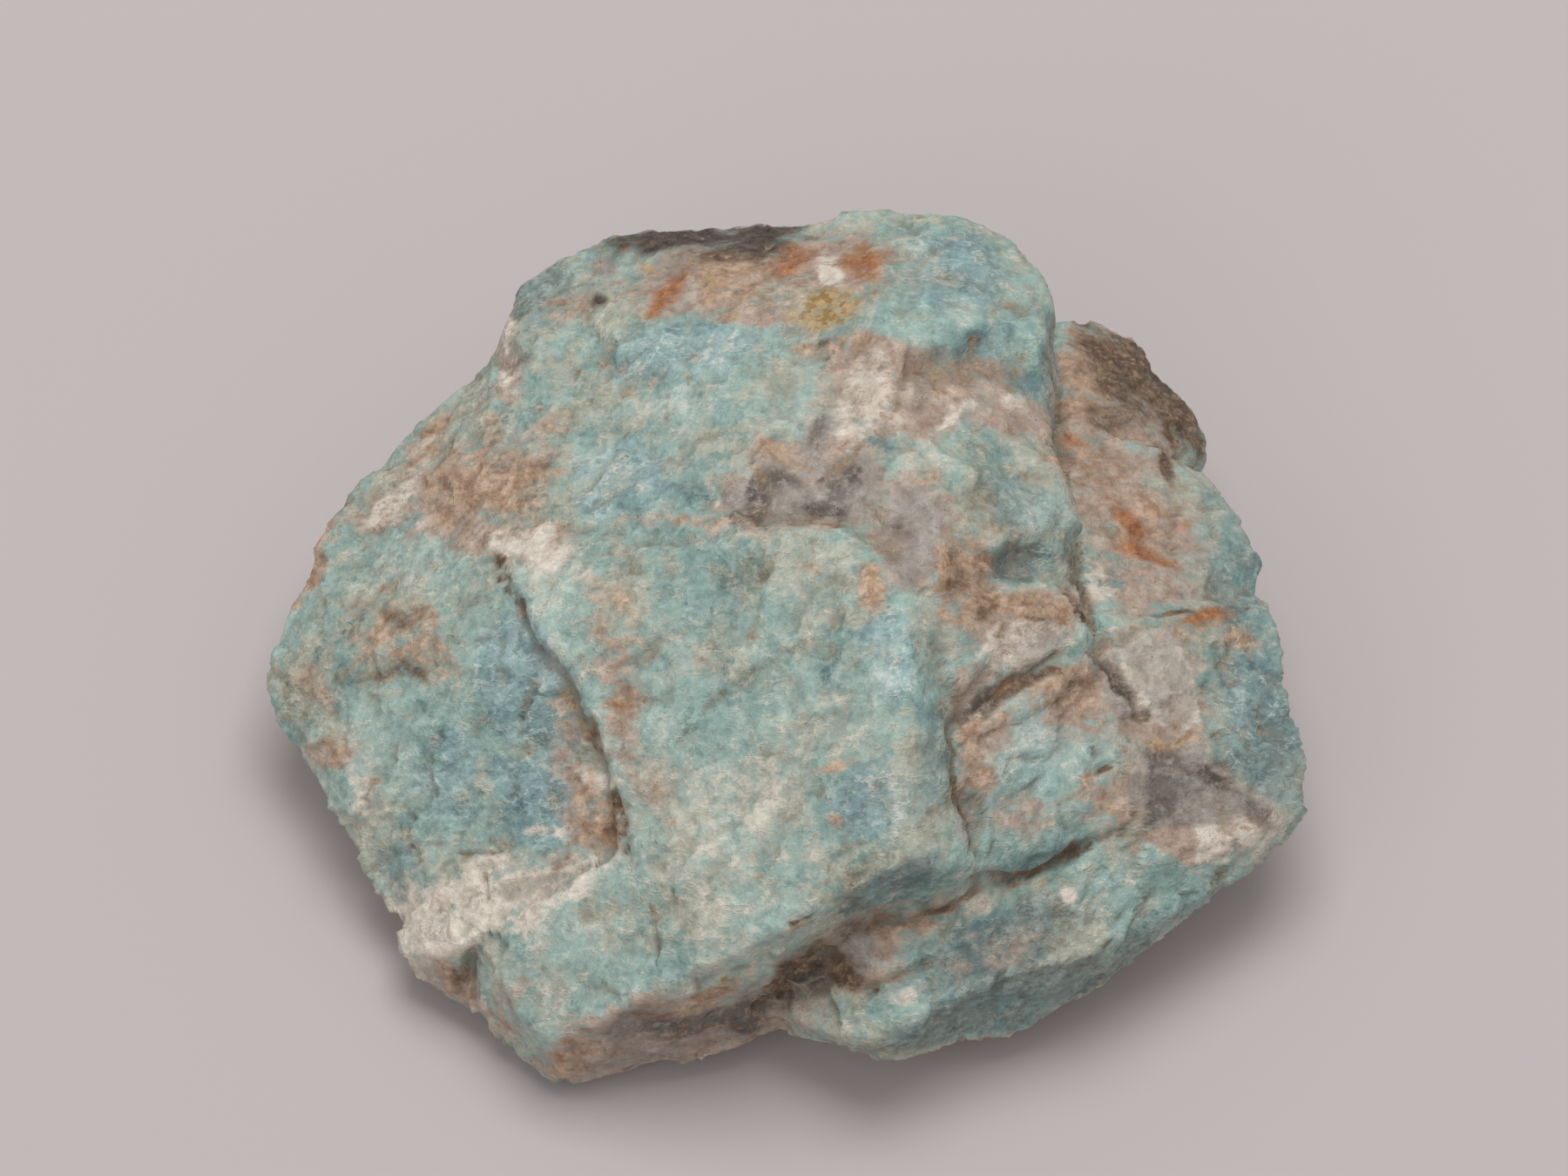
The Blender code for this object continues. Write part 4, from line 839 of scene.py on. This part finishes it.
# Plates have straight edges where the stone split: a share and their corners.
PLATES = {
    "blue": [
        (0.85, [
            (-30, -3), (-29, 2.6), (-26, 4.4), (-23, 2.6), (-20.4, -2), (-20.4, -5.4), (-22, -8),
            (-27, -8.4),
        ]),
        (0.85, [(-28, -10), (-22, -9.4), (-19.4, -14), (-20, -18), (-24, -19), (-27, -15)]),
        (0.6, [(-34, -7), (-30, -6.4), (-28.8, -9), (-29.4, -13), (-34, -16), (-36, -11)]),
        (0.6, [(7.4, 3.6), (11.4, 5), (13, -2), (11.4, -6), (8.6, -3)]),
        (0.7, [(-21, 14.4), (-18, 18), (-13.6, 17), (-12, 14), (-17, 12.6)]),
        (0.65, [(-17, 26), (-16, 31), (-8, 32.4), (-1, 31), (-6, 26.6)]),
        (0.6, [(11.4, 34), (12, 41), (19, 41), (22, 36), (19, 33)]),
        (0.5, [(39.6, 0), (46.6, -1), (50, -9), (46, -13), (41, -9)]),
        (0.6, [(-28, 24.4), (-23.6, 24), (-23, 20), (-27, 20)]),
        (0.4, [(28, -22), (35, -19), (34, -24), (29, -26)]),
    ],
    # The deep plates are painted shade in the brow hollow, on the lip's front and under the shield,
    # besides deeper teal on the left face.
    "deep_and_shaded": [
        (0.8, [(-24.6, -5), (-20.6, -5.6), (-18.6, -9.6), (-21.6, -10), (-25, -8.6)]),
        (1.0, [(18.6, 6), (20.4, 9.4), (24, 10.8), (26, 9.4), (22.6, 7.8), (20.6, 6.2)]),
        (0.75, [
            (11, -38.8), (8, -37.4), (13, -34.4), (17, -31.8), (27, -29.4), (36, -25), (36, -28),
            (24, -36),
        ]),
        (1.0, [(5, -25), (9, -20.6), (15, -18.6), (14, -22.4), (9, -25.4)]),
    ],
    "green": [
        (0.8, [
            (11, -38.8), (8, -37), (13, -34), (17, -31.4), (27, -29), (36, -24.6), (36, -28),
            (24, -36),
        ]),
        (0.9, [(1.6, 10.4), (4.6, 9.4), (7, 6.6), (6.6, 3.6), (3.4, 1), (1.6, 2.4), (0.8, 6)]),
    ],
    "rose": [
        (0.9, [
            (-13.4, 36), (-12.4, 38.4), (-10, 39.2), (-7.8, 38), (-7.2, 35.6), (-8.4, 33.4),
            (-11, 33), (-13, 34),
        ]),
        (0.55, [(15.8, -5.6), (16.6, -1.2), (20, 0), (27, 0.6), (22, -3.2), (17, -6.4)]),
        (0.8, [(29.6, 2), (31, 2), (33, -3), (35, -7), (32.4, -7.6), (29.6, -3)]),
        (0.9, [(33.4, -17), (38.6, -15.4), (46.4, -15.6), (44.6, -19), (38, -20.6)]),
    ],
    "albite": [
        (0.5, [(17.6, -0.6), (20, 3.4), (26.6, 3.4), (28, 1.6), (27, 0.4), (20, -2.2)]),
        (0.85, [
            (30.8, 2.2), (36.5, 2.8), (39.3, -1.5), (39.8, -6.5), (38, -8), (34.8, -6.3),
            (32.5, -2.5),
        ]),
        (0.9, [(-36.6, -29.4), (-36.4, -25), (-32, -21.6), (-27, -21), (-26, -25), (-30, -29)]),
        (0.55, [(38.6, -15.6), (46.4, -15.8), (44.6, -19), (40, -19.4)]),
    ],
    "quartz": [
        (0.9, [(-4.6, 11.8), (-2, 18.6), (0.4, 18.6), (1.8, 16.4), (3.2, 14.6), (2, 12.8)]),
        (0.9, [(3, 14.6), (6.4, 19), (8.2, 19.4), (9.8, 16), (8, 13.4), (5.2, 13)]),
        (0.9, [(9.8, 8), (10.4, 15.6), (13.6, 15.8), (14.6, 12), (13.8, 8), (11.6, 6.6)]),
        (0.55, [
            (30.8, 2.2), (36.5, 2.8), (39.3, -1.5), (39.8, -6.5), (38, -8), (34.8, -6.3),
            (32.5, -2.5),
        ]),
        (0.9, [
            (33.6, -9), (38, -8.6), (44.5, -13), (46.6, -15), (43, -16), (35.4, -16.8), (34, -13),
        ]),
    ],
    # The first smoky plate is painted shade on the scarp at the trough's left end.
    "smoky_and_shaded": [
        (0.85, [
            (-4.8, 11.6), (-3.4, 13.4), (-2.8, 16), (-2, 18.6), (-0.8, 16.6), (-1.6, 13.6),
            (-3, 12),
        ]),
        (0.85, [(1.2, 13), (3.2, 14.8), (6.4, 14.2), (5.6, 13)]),
        (0.6, [(33.8, -9), (37.6, -8.8), (38.8, -11), (37.2, -15), (35.2, -16.8), (34.2, -13)]),
        (0.7, [(38.6, -10.6), (44.6, -13.4), (46.4, -15), (43.4, -14.4), (39, -12)]),
    ],
    "tan": [
        (0.55, [
            (-42, -2), (-40, 2), (-38, 5.6), (-33, 4.8), (-33.6, 2), (-30, -1), (-30.6, -3),
            (-36, -1),
        ]),
        (0.7, [
            (-20.6, -13), (-18, -11.6), (-15.6, -14), (-15, -18.6), (-17.4, -19), (-19.6, -16),
        ]),
        (0.75, [(7, 8), (8.8, 8.4), (9.8, 6), (8.8, 3.4), (7.4, 3.8), (7, 6)]),
        (0.95, [
            (14.4, 10.4), (16.6, 10), (17.6, 6), (20.6, 5.4), (27, 5.6), (27.2, 2.8), (19.4, 3.2),
            (17, 1.6), (14.6, 3.8),
        ]),
        (0.8, [(16, -7.4), (21, -5), (27, -0.8), (24, -3.6), (19.6, -6.8), (17, -9.4)]),
        (0.7, [(26, -1), (29.6, -0.6), (30, -5), (28, -6.4), (25.6, -3.6)]),
    ],
}

# Veins: a half width and their points.
VEINS = {
    "brown": [
        (0.2, [(-27, 9), (-25.3, 5.6), (-24.4, 3.4)]), (0.3, [(-18.6, -6.5), (-17.5, -9.5)]),
        (0.25, [(-16.5, -13), (-15, -16), (-15, -19)]),
        (0.3, [(18.5, 30.5), (21, 30.2), (23.6, 30.5)]), (0.3, [(22.3, 28.2), (25, 28.8)]),
        (0.4, [(27.6, 11), (27.2, 6), (28.8, 3)]),
        (0.3, [(15.9, -8), (16.2, -13), (17.4, -16), (18.5, -20)]),
        (0.35, [(18, -22), (23, -21.6), (27, -19.8), (29, -18.4)]),
        (0.25, [(27.3, -14), (30.7, -10.8)]), (0.3, [(29.8, 2.5), (30.3, -0.5)]),
        (0.25, [(8, -26.3), (12, -25.8), (15.5, -24.6)]),
        (0.15, [(-12.9, -22), (-12.7, -26), (-12, -31)]),
        (0.2, [(4, -21), (4.7, -19.3), (7.5, -18)]),
        (0.15, [(3.6, -23.2), (2.7, -25.2), (0.3, -25.9)]),
        (0.25, [(34, 4), (38, 4.1), (44.5, 4.6)]), (0.2, [(3, 15.8), (5, 18.3), (7, 21)]),
    ],
    "tan": [
        (0.6, [(-24, -6), (-20.5, -4.5), (-19.3, -5.5), (-18.5, -8)]),
    ],
    "rust": [
        (0.8, [(21.5, -3.8), (24, -2.2), (27, -0.3)]), (0.25, [(-7.5, 16.8), (-5.8, 14.4)]),
    ],
    # The pale vein along the left seam is painted light on its lit edge.
    "pale_and_lit": [
        (0.35, [
            (10, -36.6), (13, -34), (17, -31), (22, -30.4), (27, -28.8), (31, -27), (36, -24.4),
        ]),
        (0.3, [(3.5, 10), (5, 9), (6.5, 7.5), (7, 6)]),
        (0.5, [(-24.2, 7.5), (-23.2, 3), (-19, -2.5)]), (0.35, [(24.6, 16.6), (26.2, 15.2)]),
    ],
}

# How far a patch fades out, as a share of its half widths.
HALOS = {
    "tan": 0.8, "brown": 0.6, "rose": 0.7, "rust": 0.8, "ochre": 0.8, "deep_and_shaded": 0.6, "pale_and_lit": 0.6,
    "green": 0.6, "albite": 0.6, "blue": 0.5, "black": 0.6,
}
PLAIN_HALO = 0.35

# On the sides out of sight clouds decide: their size in mm, and the mineral's largest share.
UNSEEN = {
    "blue": (9, 0.5), "rose": (12, 0.7), "albite": (9, 0.55), "tan": (11, 0.65),
    "quartz": (13, 0.4), "brown": (4, 0.3), "deep_and_shaded": (7, 0.6), "pale_and_lit": (6, 0.6),
    "green": (15, 0.6),
}
NOWHERE = (10, 0)
UNSEEN_CONTRAST = 1.6
UNSEEN_SEED = 100
UNSEEN_SEED_STEP = 10

# A plate's soft edge in mm, and a vein's fade in half widths. Veins are broken by a cloud: its
# size, seed and strength, and the largest share that it leaves.
PLATE_EDGE = 1.0
VEIN_FADE = 1.6
BREAKS_SIZE = 2.2
BREAKS_SEED = 95
BREAKS_STRENGTH = 0.8
MOST_VEIN = 0.85

# How sharply the placed minerals end where the skin turns out of sight, and how far on they
# reach. A patch with a half width above SMALLEST_STAIN wanders as a stain does.
MINERAL_FACING = 5
MINERAL_REACH = 0.3
SMALLEST_STAIN = 1

# What makes outlines ragged: a push, a size and a seed for coarse and for fine.
STAIN_WANDER = ((1.3, 5.5, 80), (0.7, 1.9, 90))
PLATE_WANDER = ((0.5, 2.6, 75), (0.25, 1.0, 85))

# Clouds kept on the mesh for the colours: a middle, a strength, a size, a seed and layers.
TINTS = {
    "tone": (0.5, 0.18, 6.0, 130, 4),
    "hue": (0.5, 0.4, 7.0, 140, 4),
    "flecks": (0.35, 0.6, 6.0, 150, 3),
}

# Crevices and ridges: the least bend in mm, and the further bend at which they are full.
BEND_ROUNDS = 10
CREVICE = (0.06, 0.3)
RIDGE = (0.04, 0.25)


def patch_amount(position, halo, across, up, half_across, half_up, most=1.0, turn=0):
    """The most well inside an ellipse, half of it on the outline and 0 a halo outside it."""
    gap = position - (across, up)
    cos, sin = math.cos(math.radians(turn)), math.sin(math.radians(turn))
    along = (gap[:, 0] * cos + gap[:, 1] * sin) / half_across
    over = (gap[:, 1] * cos - gap[:, 0] * sin) / half_up
    return most * np.clip(0.5 + (1 - np.hypot(along, over)) / (2 * halo), 0, 1)


def plate_amount(position, most, corners):
    """The most well inside a polygon, half of it on the outline and 0 outside."""
    across, up = position.T
    inside = np.zeros(len(position), bool)
    for (x1, y1), (x2, y2) in zip(corners, corners[1:] + corners[:1]):
        crossing = (x2 - x1) * (up - y1) / (y2 - y1 + 1e-9) + x1
        inside ^= ((y1 > up) != (y2 > up)) & (across < crossing)
    gap = line_distance(position, corners + corners[:1])
    return most * np.clip(0.5 + np.where(inside, gap, -gap) / PLATE_EDGE, 0, 1)


def wandered(position, wander):
    """The position pushed about by clouds, so that outlines on it come out ragged."""
    for push, size, seed in wander:
        position = position + push * cloud_vector(places, size, seed)[:, :2]
    return position


outward = sheet.normals(places)
seen = np.clip(outward @ to_viewer * MINERAL_FACING + MINERAL_REACH, 0, 1)
face = face_position(places)
stain_face = wandered(face, STAIN_WANDER)
plate_face = wandered(face, PLATE_WANDER)
vein_cloud = BREAKS_STRENGTH * cloud(places, BREAKS_SIZE, BREAKS_SEED)
vein_breaks = np.clip(0.5 + vein_cloud, 0, MOST_VEIN)
amounts = {}
for row, (mineral, patches) in enumerate(PATCHES.items()):
    amount = np.zeros(len(places))
    halo = HALOS.get(mineral, PLAIN_HALO)
    for patch in patches:
        position = stain_face if patch[2] > SMALLEST_STAIN else ragged_face
        amount = np.maximum(amount, patch_amount(position, halo, *patch))
    for plate in PLATES.get(mineral, []):
        amount = np.maximum(amount, plate_amount(plate_face, *plate))
    for half_width, line in VEINS.get(mineral, []):
        near = np.clip(VEIN_FADE - line_distance(ragged_face, line) / half_width, 0, 1)
        amount = np.maximum(amount, near * vein_breaks)
    size, most = UNSEEN.get(mineral, NOWHERE)
    clouds = rough_cloud(places, size, UNSEEN_SEED + UNSEEN_SEED_STEP * row)
    hidden = most * np.clip(0.5 + UNSEEN_CONTRAST * clouds, 0, 1)
    amounts[mineral] = amount * seen + hidden * (1 - seen)

for name, (middle, strength, size, seed, layers) in TINTS.items():
    amounts[name] = middle + strength * rough_cloud(places, size, seed, layers)
amounts["flecks"] = np.clip(amounts["flecks"], 0, 1)

# Crevices and ridges are where the skin lies under or over its own smoothed self.
smoothed = places
for _ in range(BEND_ROUNDS):
    smoothed = sheet.neighbour_mean(smoothed)
bend = ((smoothed - places) * outward).sum(axis=1)
amounts["crevice"] = np.clip((bend - CREVICE[0]) / CREVICE[1], 0, 1)
amounts["ridge"] = np.clip((-bend - RIDGE[0]) / RIDGE[1], 0, 1)
for name, amount in amounts.items():
    layer = mesh.attributes.new(name, "FLOAT", "POINT")
    layer.data.foreach_set("value", np.append(amount, amount[last_ring].mean()).astype(np.float32))


# ---------------------------------------------------------------------------------------------
# The stone's finish. Broken feldspar is a sugary crowd of crystals, matt with small glints and
# whitish feathers along its cleavage. Each mineral's share comes from the mesh and is broken
# up by noise, and the later minerals lie over the earlier.

# Sizes of the patterns, in mm.
BLOTCH_SIZE = 3.6
MOTTLE_SIZE = 1.9
CRUMB_SIZE = 0.9
STRAND_SIZE = 1.7
FEATHER_SIZE = 1.5
CRACK_SIZE = 2.6
GRIT_SIZE = 0.3
BIG_CRYSTAL = {"size": 1.5, "bend_size": 1.2, "bend": 2.6}
SMALL_CRYSTAL = {"size": 0.55, "bend_size": 0.5, "bend": 0.9}

# How much each crystal's own tilt turns the light, and how deep the grit between them is.
BIG_TILT = 0.22
SMALL_TILT = 0.26
BUMP_DEPTH = 0.15

# Along the cleavage, patterns are turned about the vertical and drawn out.
CLEAVAGE_TURN = -0.55
CLEAVAGE_SCALE = (0.42, 1, 1)

# Surface colour over seen tone, for red, green and blue in this studio's light.
STUDIO_GAIN = (1.15, 1.18, 1.18)
DISPLAY_GAMMA = 2.2

material = bpy.data.materials.new("amazonite")
material.use_nodes = True
nodes = material.node_tree.nodes
links = material.node_tree.links
shader = nodes["Principled BSDF"]


def node(kind, inputs, output=0, **settings):
    """A new shader node's output. Each input is a value or another node's output."""
    made = nodes.new("ShaderNode" + kind)
    for setting, value in settings.items():
        setattr(made, setting, value)
    for place, value in inputs.items():
        if isinstance(value, bpy.types.NodeSocket):
            links.new(value, made.inputs[place])
        else:
            made.inputs[place].default_value = value
    return made.outputs[output]


object_place = node("TexCoord", {}, "Object")
cleavage_place = node("Mapping", {
    "Vector": object_place, "Rotation": (0, 0, CLEAVAGE_TURN), "Scale": CLEAVAGE_SCALE,
})


def noise(size, detail=3, roughness=0.6, place=object_place):
    """Noise from 0 to 1, at a size in mm."""
    return node("TexNoise", {
        "Vector": place, "Scale": 1 / (size * MM), "Detail": detail, "Roughness": roughness,
    })


def on_mesh(name):
    """An amount kept on the mesh."""
    return node("Attribute", {}, "Fac", attribute_name=name)


def level(value, low, high, least=0.0, most=1.0):
    """The value's way from low to high, as a smooth step from least to most."""
    limits = {"From Min": low, "From Max": high, "To Min": least, "To Max": most}
    return node("MapRange", {"Value": value, **limits}, interpolation_type="SMOOTHSTEP")


def calculated(operation, first, second, third=0.0):
    """One sum: first and second, and for MULTIPLY_ADD the third added to their product."""
    return node("Math", {0: first, 1: second, 2: third}, operation=operation)


def raised(value, by, amount):
    """A value, and an amount of another added to it."""
    return calculated("MULTIPLY_ADD", by, amount, value)


def swayed(value, by, amount):
    """A value moved up and down by a noise."""
    return raised(value, calculated("SUBTRACT", by, 0.5), amount)


def seen_tone(red, green, blue):
    """Surface colour for a tone as seen in the studio, where 255 is full."""
    channels = zip(STUDIO_GAIN, (red, green, blue))
    return tuple(gain * (channel / 255) ** DISPLAY_GAMMA for gain, channel in channels) + (1,)


def toned(share, *stops):
    """Colour along a row of stops, each a place and a tone."""
    ramp = nodes.new("ShaderNodeValToRGB")
    links.new(share, ramp.inputs[0])
    stored = ramp.color_ramp.elements
    for number, (place, tone) in enumerate(stops):
        stop = stored[number] if number < 2 else stored.new(place)
        stop.position = place
        stop.color = seen_tone(*tone)
    return ramp.outputs[0]


def mixed(share, below, above):
    """One colour over another by a share."""
    return node("Mix", {0: share, 6: below, 7: above}, 2, data_type="RGBA")


def mineral_share(mineral, breaking, rough, soft=0.35):
    """Where a mineral shows: its share on the mesh, broken up by noise."""
    broken = calculated("MULTIPLY", on_mesh(mineral), swayed(1.0, breaking, rough))
    return level(broken, 0.5 - soft, 0.5 + soft)


def crystals(size, bend_size, bend):
    """A random colour for each crystal, and its three channels. The crystals are Voronoi cells
    of a size in mm, and noise makes their edges ragged."""
    ragged = node("TexNoise", {
        "Vector": object_place, "Scale": 1 / (bend_size * MM), "Detail": 3.0,
    }, "Color")
    bent = {0: ragged, 1: (bend * MM,) * 3, 2: object_place}
    place = node("VectorMath", bent, operation="MULTIPLY_ADD")
    cell = node("TexVoronoi", {"Vector": place, "Scale": 1 / (size * MM)}, "Color")
    return cell, *(node("SeparateColor", {0: cell}, part) for part in range(3))


def feathers(size, width):
    """1 on thin ragged lines along the cleavage, 0 between them."""
    middle_gap = calculated("SUBTRACT", noise(size, 4, 0.6, cleavage_place), 0.5)
    return level(calculated("ABSOLUTE", middle_gap, 0.0), 0.0, width, 1, 0)


blotch = noise(BLOTCH_SIZE, 6, 0.62)
mottle = noise(MOTTLE_SIZE, 5, 0.68)
crumb = noise(CRUMB_SIZE, 4, 0.7)
strand = noise(STRAND_SIZE, 5, 0.7, cleavage_place)
big, big_tone, big_hue, big_pick = crystals(**BIG_CRYSTAL)
small, small_tone, small_hue, small_pick = crystals(**SMALL_CRYSTAL)
feather = calculated("MULTIPLY", feathers(FEATHER_SIZE, 0.05), level(mottle, 0.42, 0.6))
crack = calculated("MULTIPLY", feathers(CRACK_SIZE, 0.03), level(blotch, 0.45, 0.6))

# The feldspar's tone and hue: azure to teal, and ivory where it is clouded. The pale share
# raises the tone, partly as painted light, and the deep share lowers it, partly as painted shade.
tone = swayed(swayed(swayed(on_mesh("tone"), blotch, 0.9), big_tone, 0.24), small_tone, 0.16)
tone = swayed(raised(tone, on_mesh("pale_and_lit"), 0.3), crumb, 0.2)
tone = raised(raised(tone, feather, 0.34), crack, -0.25)
tone = raised(tone, on_mesh("deep_and_shaded"), -0.36)
azure = toned(
    tone, (0.0, (92, 112, 115)), (0.3, (116, 139, 140)), (0.55, (138, 161, 161)),
    (0.8, (162, 179, 177)), (1.0, (190, 196, 192)),
)
teal = toned(
    tone, (0.0, (100, 122, 118)), (0.25, (126, 149, 143)), (0.5, (143, 165, 158)),
    (0.75, (159, 176, 167)), (1.0, (186, 192, 181)),
)
ivory = toned(
    tone, (0.0, (116, 106, 90)), (0.25, (146, 142, 126)), (0.5, (163, 163, 149)),
    (0.75, (176, 174, 160)), (1.0, (198, 191, 177)),
)
hue = raised(on_mesh("hue"), on_mesh("green"), 0.3)
hue = swayed(swayed(swayed(swayed(hue, mottle, 1.2), big_hue, 0.4), small_hue, 0.15), blotch, 1.1)
hue = raised(raised(hue, feather, 0.25), on_mesh("blue"), -0.25)
blue = mixed(level(hue, 0.35, 0.9, 0, 0.7), azure, ivory)
colour = mixed(level(hue, 0.3, 0.95), teal, ivory)
colour = mixed(mineral_share("blue", strand, 2.8, 0.3), colour, blue)
# The deep share turns the colour towards azure, partly as painted shade.
colour = mixed(calculated("MULTIPLY", mineral_share("deep_and_shaded", strand, 3.0, 0.25), 0.6), colour, azure)
whitish = calculated("MULTIPLY", feather, level(on_mesh("blue"), 0.2, 0.7, 0, 0.45))
colour = mixed(whitish, colour, seen_tone(188, 197, 193))


def overlaid(below, mineral, above, breaking, rough, soft=0.35):
    """A mineral's colour over what lies below, where its share comes through the breaking."""
    return mixed(mineral_share(mineral, breaking, rough, soft), below, above)


# The minerals that lie over the feldspar.
rosy = toned(
    swayed(mottle, small_tone, 0.2),
    (0.25, (139, 114, 101)), (0.5, (166, 144, 130)), (0.75, (192, 173, 159)),
)
chalk = toned(
    swayed(mottle, small_tone, 0.16),
    (0.25, (170, 154, 139)), (0.5, (208, 195, 181)), (0.75, (224, 213, 202)),
)
quartz = toned(
    swayed(mottle, small_hue, 0.12),
    (0.3, (128, 116, 107)), (0.5, (149, 138, 130)), (0.7, (172, 162, 155)),
)
smoke_and_shade = toned(
    swayed(crumb, big_pick, 0.2),
    (0.3, (68, 60, 55)), (0.5, (98, 88, 81)), (0.72, (152, 142, 134)),
)
earth = toned(
    swayed(mottle, crumb, 0.7),
    (0.28, (126, 96, 75)), (0.5, (169, 139, 116)), (0.72, (202, 176, 155)),
)
ochre = toned(small_hue, (0.2, (142, 112, 68)), (0.8, (178, 150, 108)))
rust = toned(swayed(crumb, small_hue, 0.2), (0.3, (130, 76, 46)), (0.7, (176, 120, 80)))
umber = toned(
    swayed(crumb, small_hue, 0.16),
    (0.25, (68, 50, 39)), (0.5, (98, 78, 62)), (0.75, (144, 120, 98)),
)
soot_and_shadow = toned(crumb, (0.35, (50, 43, 38)), (0.65, (98, 85, 76)))
colour = overlaid(colour, "rose", rosy, swayed(strand, blotch, 0.6), 2.6, 0.22)
colour = overlaid(colour, "albite", chalk, swayed(strand, mottle, 0.5), 3.0, 0.25)
colour = overlaid(colour, "quartz", quartz, swayed(mottle, big_hue, 0.15), 1.6)
# Smoky grey is also painted shade on the trough's scarp and in the front cleft.
colour = overlaid(colour, "smoky_and_shaded", smoke_and_shade, swayed(crumb, big_tone, 0.2), 1.8)
colour = overlaid(colour, "tan", earth, swayed(strand, crumb, 0.4), 4.0)
colour = overlaid(colour, "ochre", ochre, swayed(crumb, small_pick, 0.3), 2.6)
colour = overlaid(colour, "rust", rust, swayed(strand, crumb, 0.5), 2.0)
# In the front cleft the brown and the black are painted shadow.
colour = overlaid(colour, "brown", umber, swayed(strand, crumb, 0.6), 2.4, 0.3)
colour = overlaid(colour, "black", soot_and_shadow, swayed(strand, crumb, 0.5), 1.5)

# Brown flecks, dirt in the crevices and painted shade in them, and painted light on the ridges.
flecks = swayed(raised(crumb, on_mesh("flecks"), 0.2), mottle, 0.8)
flecks = raised(raised(flecks, on_mesh("rose"), 0.1), on_mesh("crevice"), 0.2)
fleck_tone = toned(small_tone, (0.2, (118, 92, 68)), (0.8, (172, 142, 112)))
stain = toned(mottle, (0.35, (112, 88, 68)), (0.65, (160, 138, 116)))
colour = mixed(level(flecks, 0.78, 0.95, 0, 0.7), colour, fleck_tone)
colour = mixed(calculated("MULTIPLY", on_mesh("crevice"), 0.4), colour, stain)
# Crumb noise varies the tone at random. The ridges are lightened as painted light, and the crevices
# are darkened as painted shade.
shade = raised(level(crumb, 0.25, 0.75, 0.88, 1.12), on_mesh("ridge"), 0.12)
shade = raised(shade, on_mesh("crevice"), -0.12)
colour = node("VectorMath", {0: colour, 3: shade}, operation="SCALE")
links.new(colour, shader.inputs["Base Color"])

# Each crystal is tilted its own way, which gives the glints.
grit = raised(swayed(crumb, feather, 0.3), noise(GRIT_SIZE, 2, 0.6), 0.5)
normal = node("Bump", {"Height": grit, "Distance": BUMP_DEPTH * MM, "Strength": 1.0})
for crystal, tilt in ((big, BIG_TILT), (small, SMALL_TILT)):
    normal = node("VectorMath", {0: crystal, 1: (tilt,) * 3, 2: normal}, operation="MULTIPLY_ADD")
middle_tilt = ((BIG_TILT + SMALL_TILT) / 2,) * 3
normal = node("VectorMath", {0: normal, 1: middle_tilt}, operation="SUBTRACT")
links.new(node("VectorMath", {0: normal}, operation="NORMALIZE"), shader.inputs["Normal"])
links.new(level(small_pick, 0.0, 1.0, 0.35, 0.75), shader.inputs["Roughness"])
shader.inputs["Specular IOR Level"].default_value = 0.5

mesh.materials.append(material)
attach(stone, "root")
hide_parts("amazonite")


# ---------------------------------------------------------------------------------------------
# Floor, light and camera. The stone lies on a plain pale table under a soft sky, one large
# soft light almost overhead and a weak one from the front left. The camera looks down straight
# at the face plane.

FLOOR_HALF = 2.0
FLOOR_COLOUR = (0.58, 0.522, 0.522, 1)
FLOOR_ROUGHNESS = 0.7
SKY_COLOUR = (1, 1, 1, 1)
SKY_STRENGTH = 0.41
LIGHT_SIZE = 0.6
LIGHT_AIM = Vector((0, 0, 0.015))
LIGHTS = {"window": ((0.05, 0.2, 1.0), 5.4), "wall": ((-0.5, -0.6, 0.6), 0.8)}
EYE_DISTANCE = 2.0
VIEW_WIDTH = 0.150
SENSOR_WIDTH = 36
MIDDLE_UP = 6.25

floor_corners = [(x * FLOOR_HALF, y * FLOOR_HALF, 0) for x, y in ((-1, -1), (1, -1), (1, 1), (-1, 1))]
floor_mesh = bpy.data.meshes.new("floor")
floor_mesh.from_pydata(floor_corners, [], [(0, 1, 2, 3)])
floor = bpy.data.objects.new("floor", floor_mesh)
bpy.context.scene.collection.objects.link(floor)
floor_material = bpy.data.materials.new("floor")
floor_material.use_nodes = True
floor_shader = floor_material.node_tree.nodes["Principled BSDF"]
floor_shader.inputs["Base Color"].default_value = FLOOR_COLOUR
floor_shader.inputs["Roughness"].default_value = FLOOR_ROUGHNESS
floor_mesh.materials.append(floor_material)

world = bpy.data.worlds.new("studio")
bpy.context.scene.world = world
world.use_nodes = True
sky = world.node_tree.nodes["Background"]
sky.inputs["Color"].default_value = SKY_COLOUR
sky.inputs["Strength"].default_value = SKY_STRENGTH

for name, (place, power) in LIGHTS.items():
    light = bpy.data.lights.new(name, "AREA")
    light.size = LIGHT_SIZE
    light.energy = power
    lamp = bpy.data.objects.new(name, light)
    lamp.location = place
    lamp.rotation_euler = (Vector(place) - LIGHT_AIM).to_track_quat("Z", "Y").to_euler()
    bpy.context.scene.collection.objects.link(lamp)
bpy.context.scene.view_settings.view_transform = "Standard"

camera_data = bpy.data.cameras.new("camera")
camera_data.sensor_width = SENSOR_WIDTH
camera_data.lens = SENSOR_WIDTH * EYE_DISTANCE / VIEW_WIDTH
camera = bpy.data.objects.new("camera", camera_data)
eye = Vector(to_viewer)
face_up = Vector((0, math.sin(FACE_LEAN), math.cos(FACE_LEAN)))
middle = Vector((fit_shift[0], fit_shift[1], FACE_HEIGHT)) + face_up * MIDDLE_UP
camera.location = middle * MM + eye * EYE_DISTANCE
camera.rotation_euler = eye.to_track_quat("Z", "Y").to_euler()
bpy.context.scene.collection.objects.link(camera)
bpy.context.scene.camera = camera
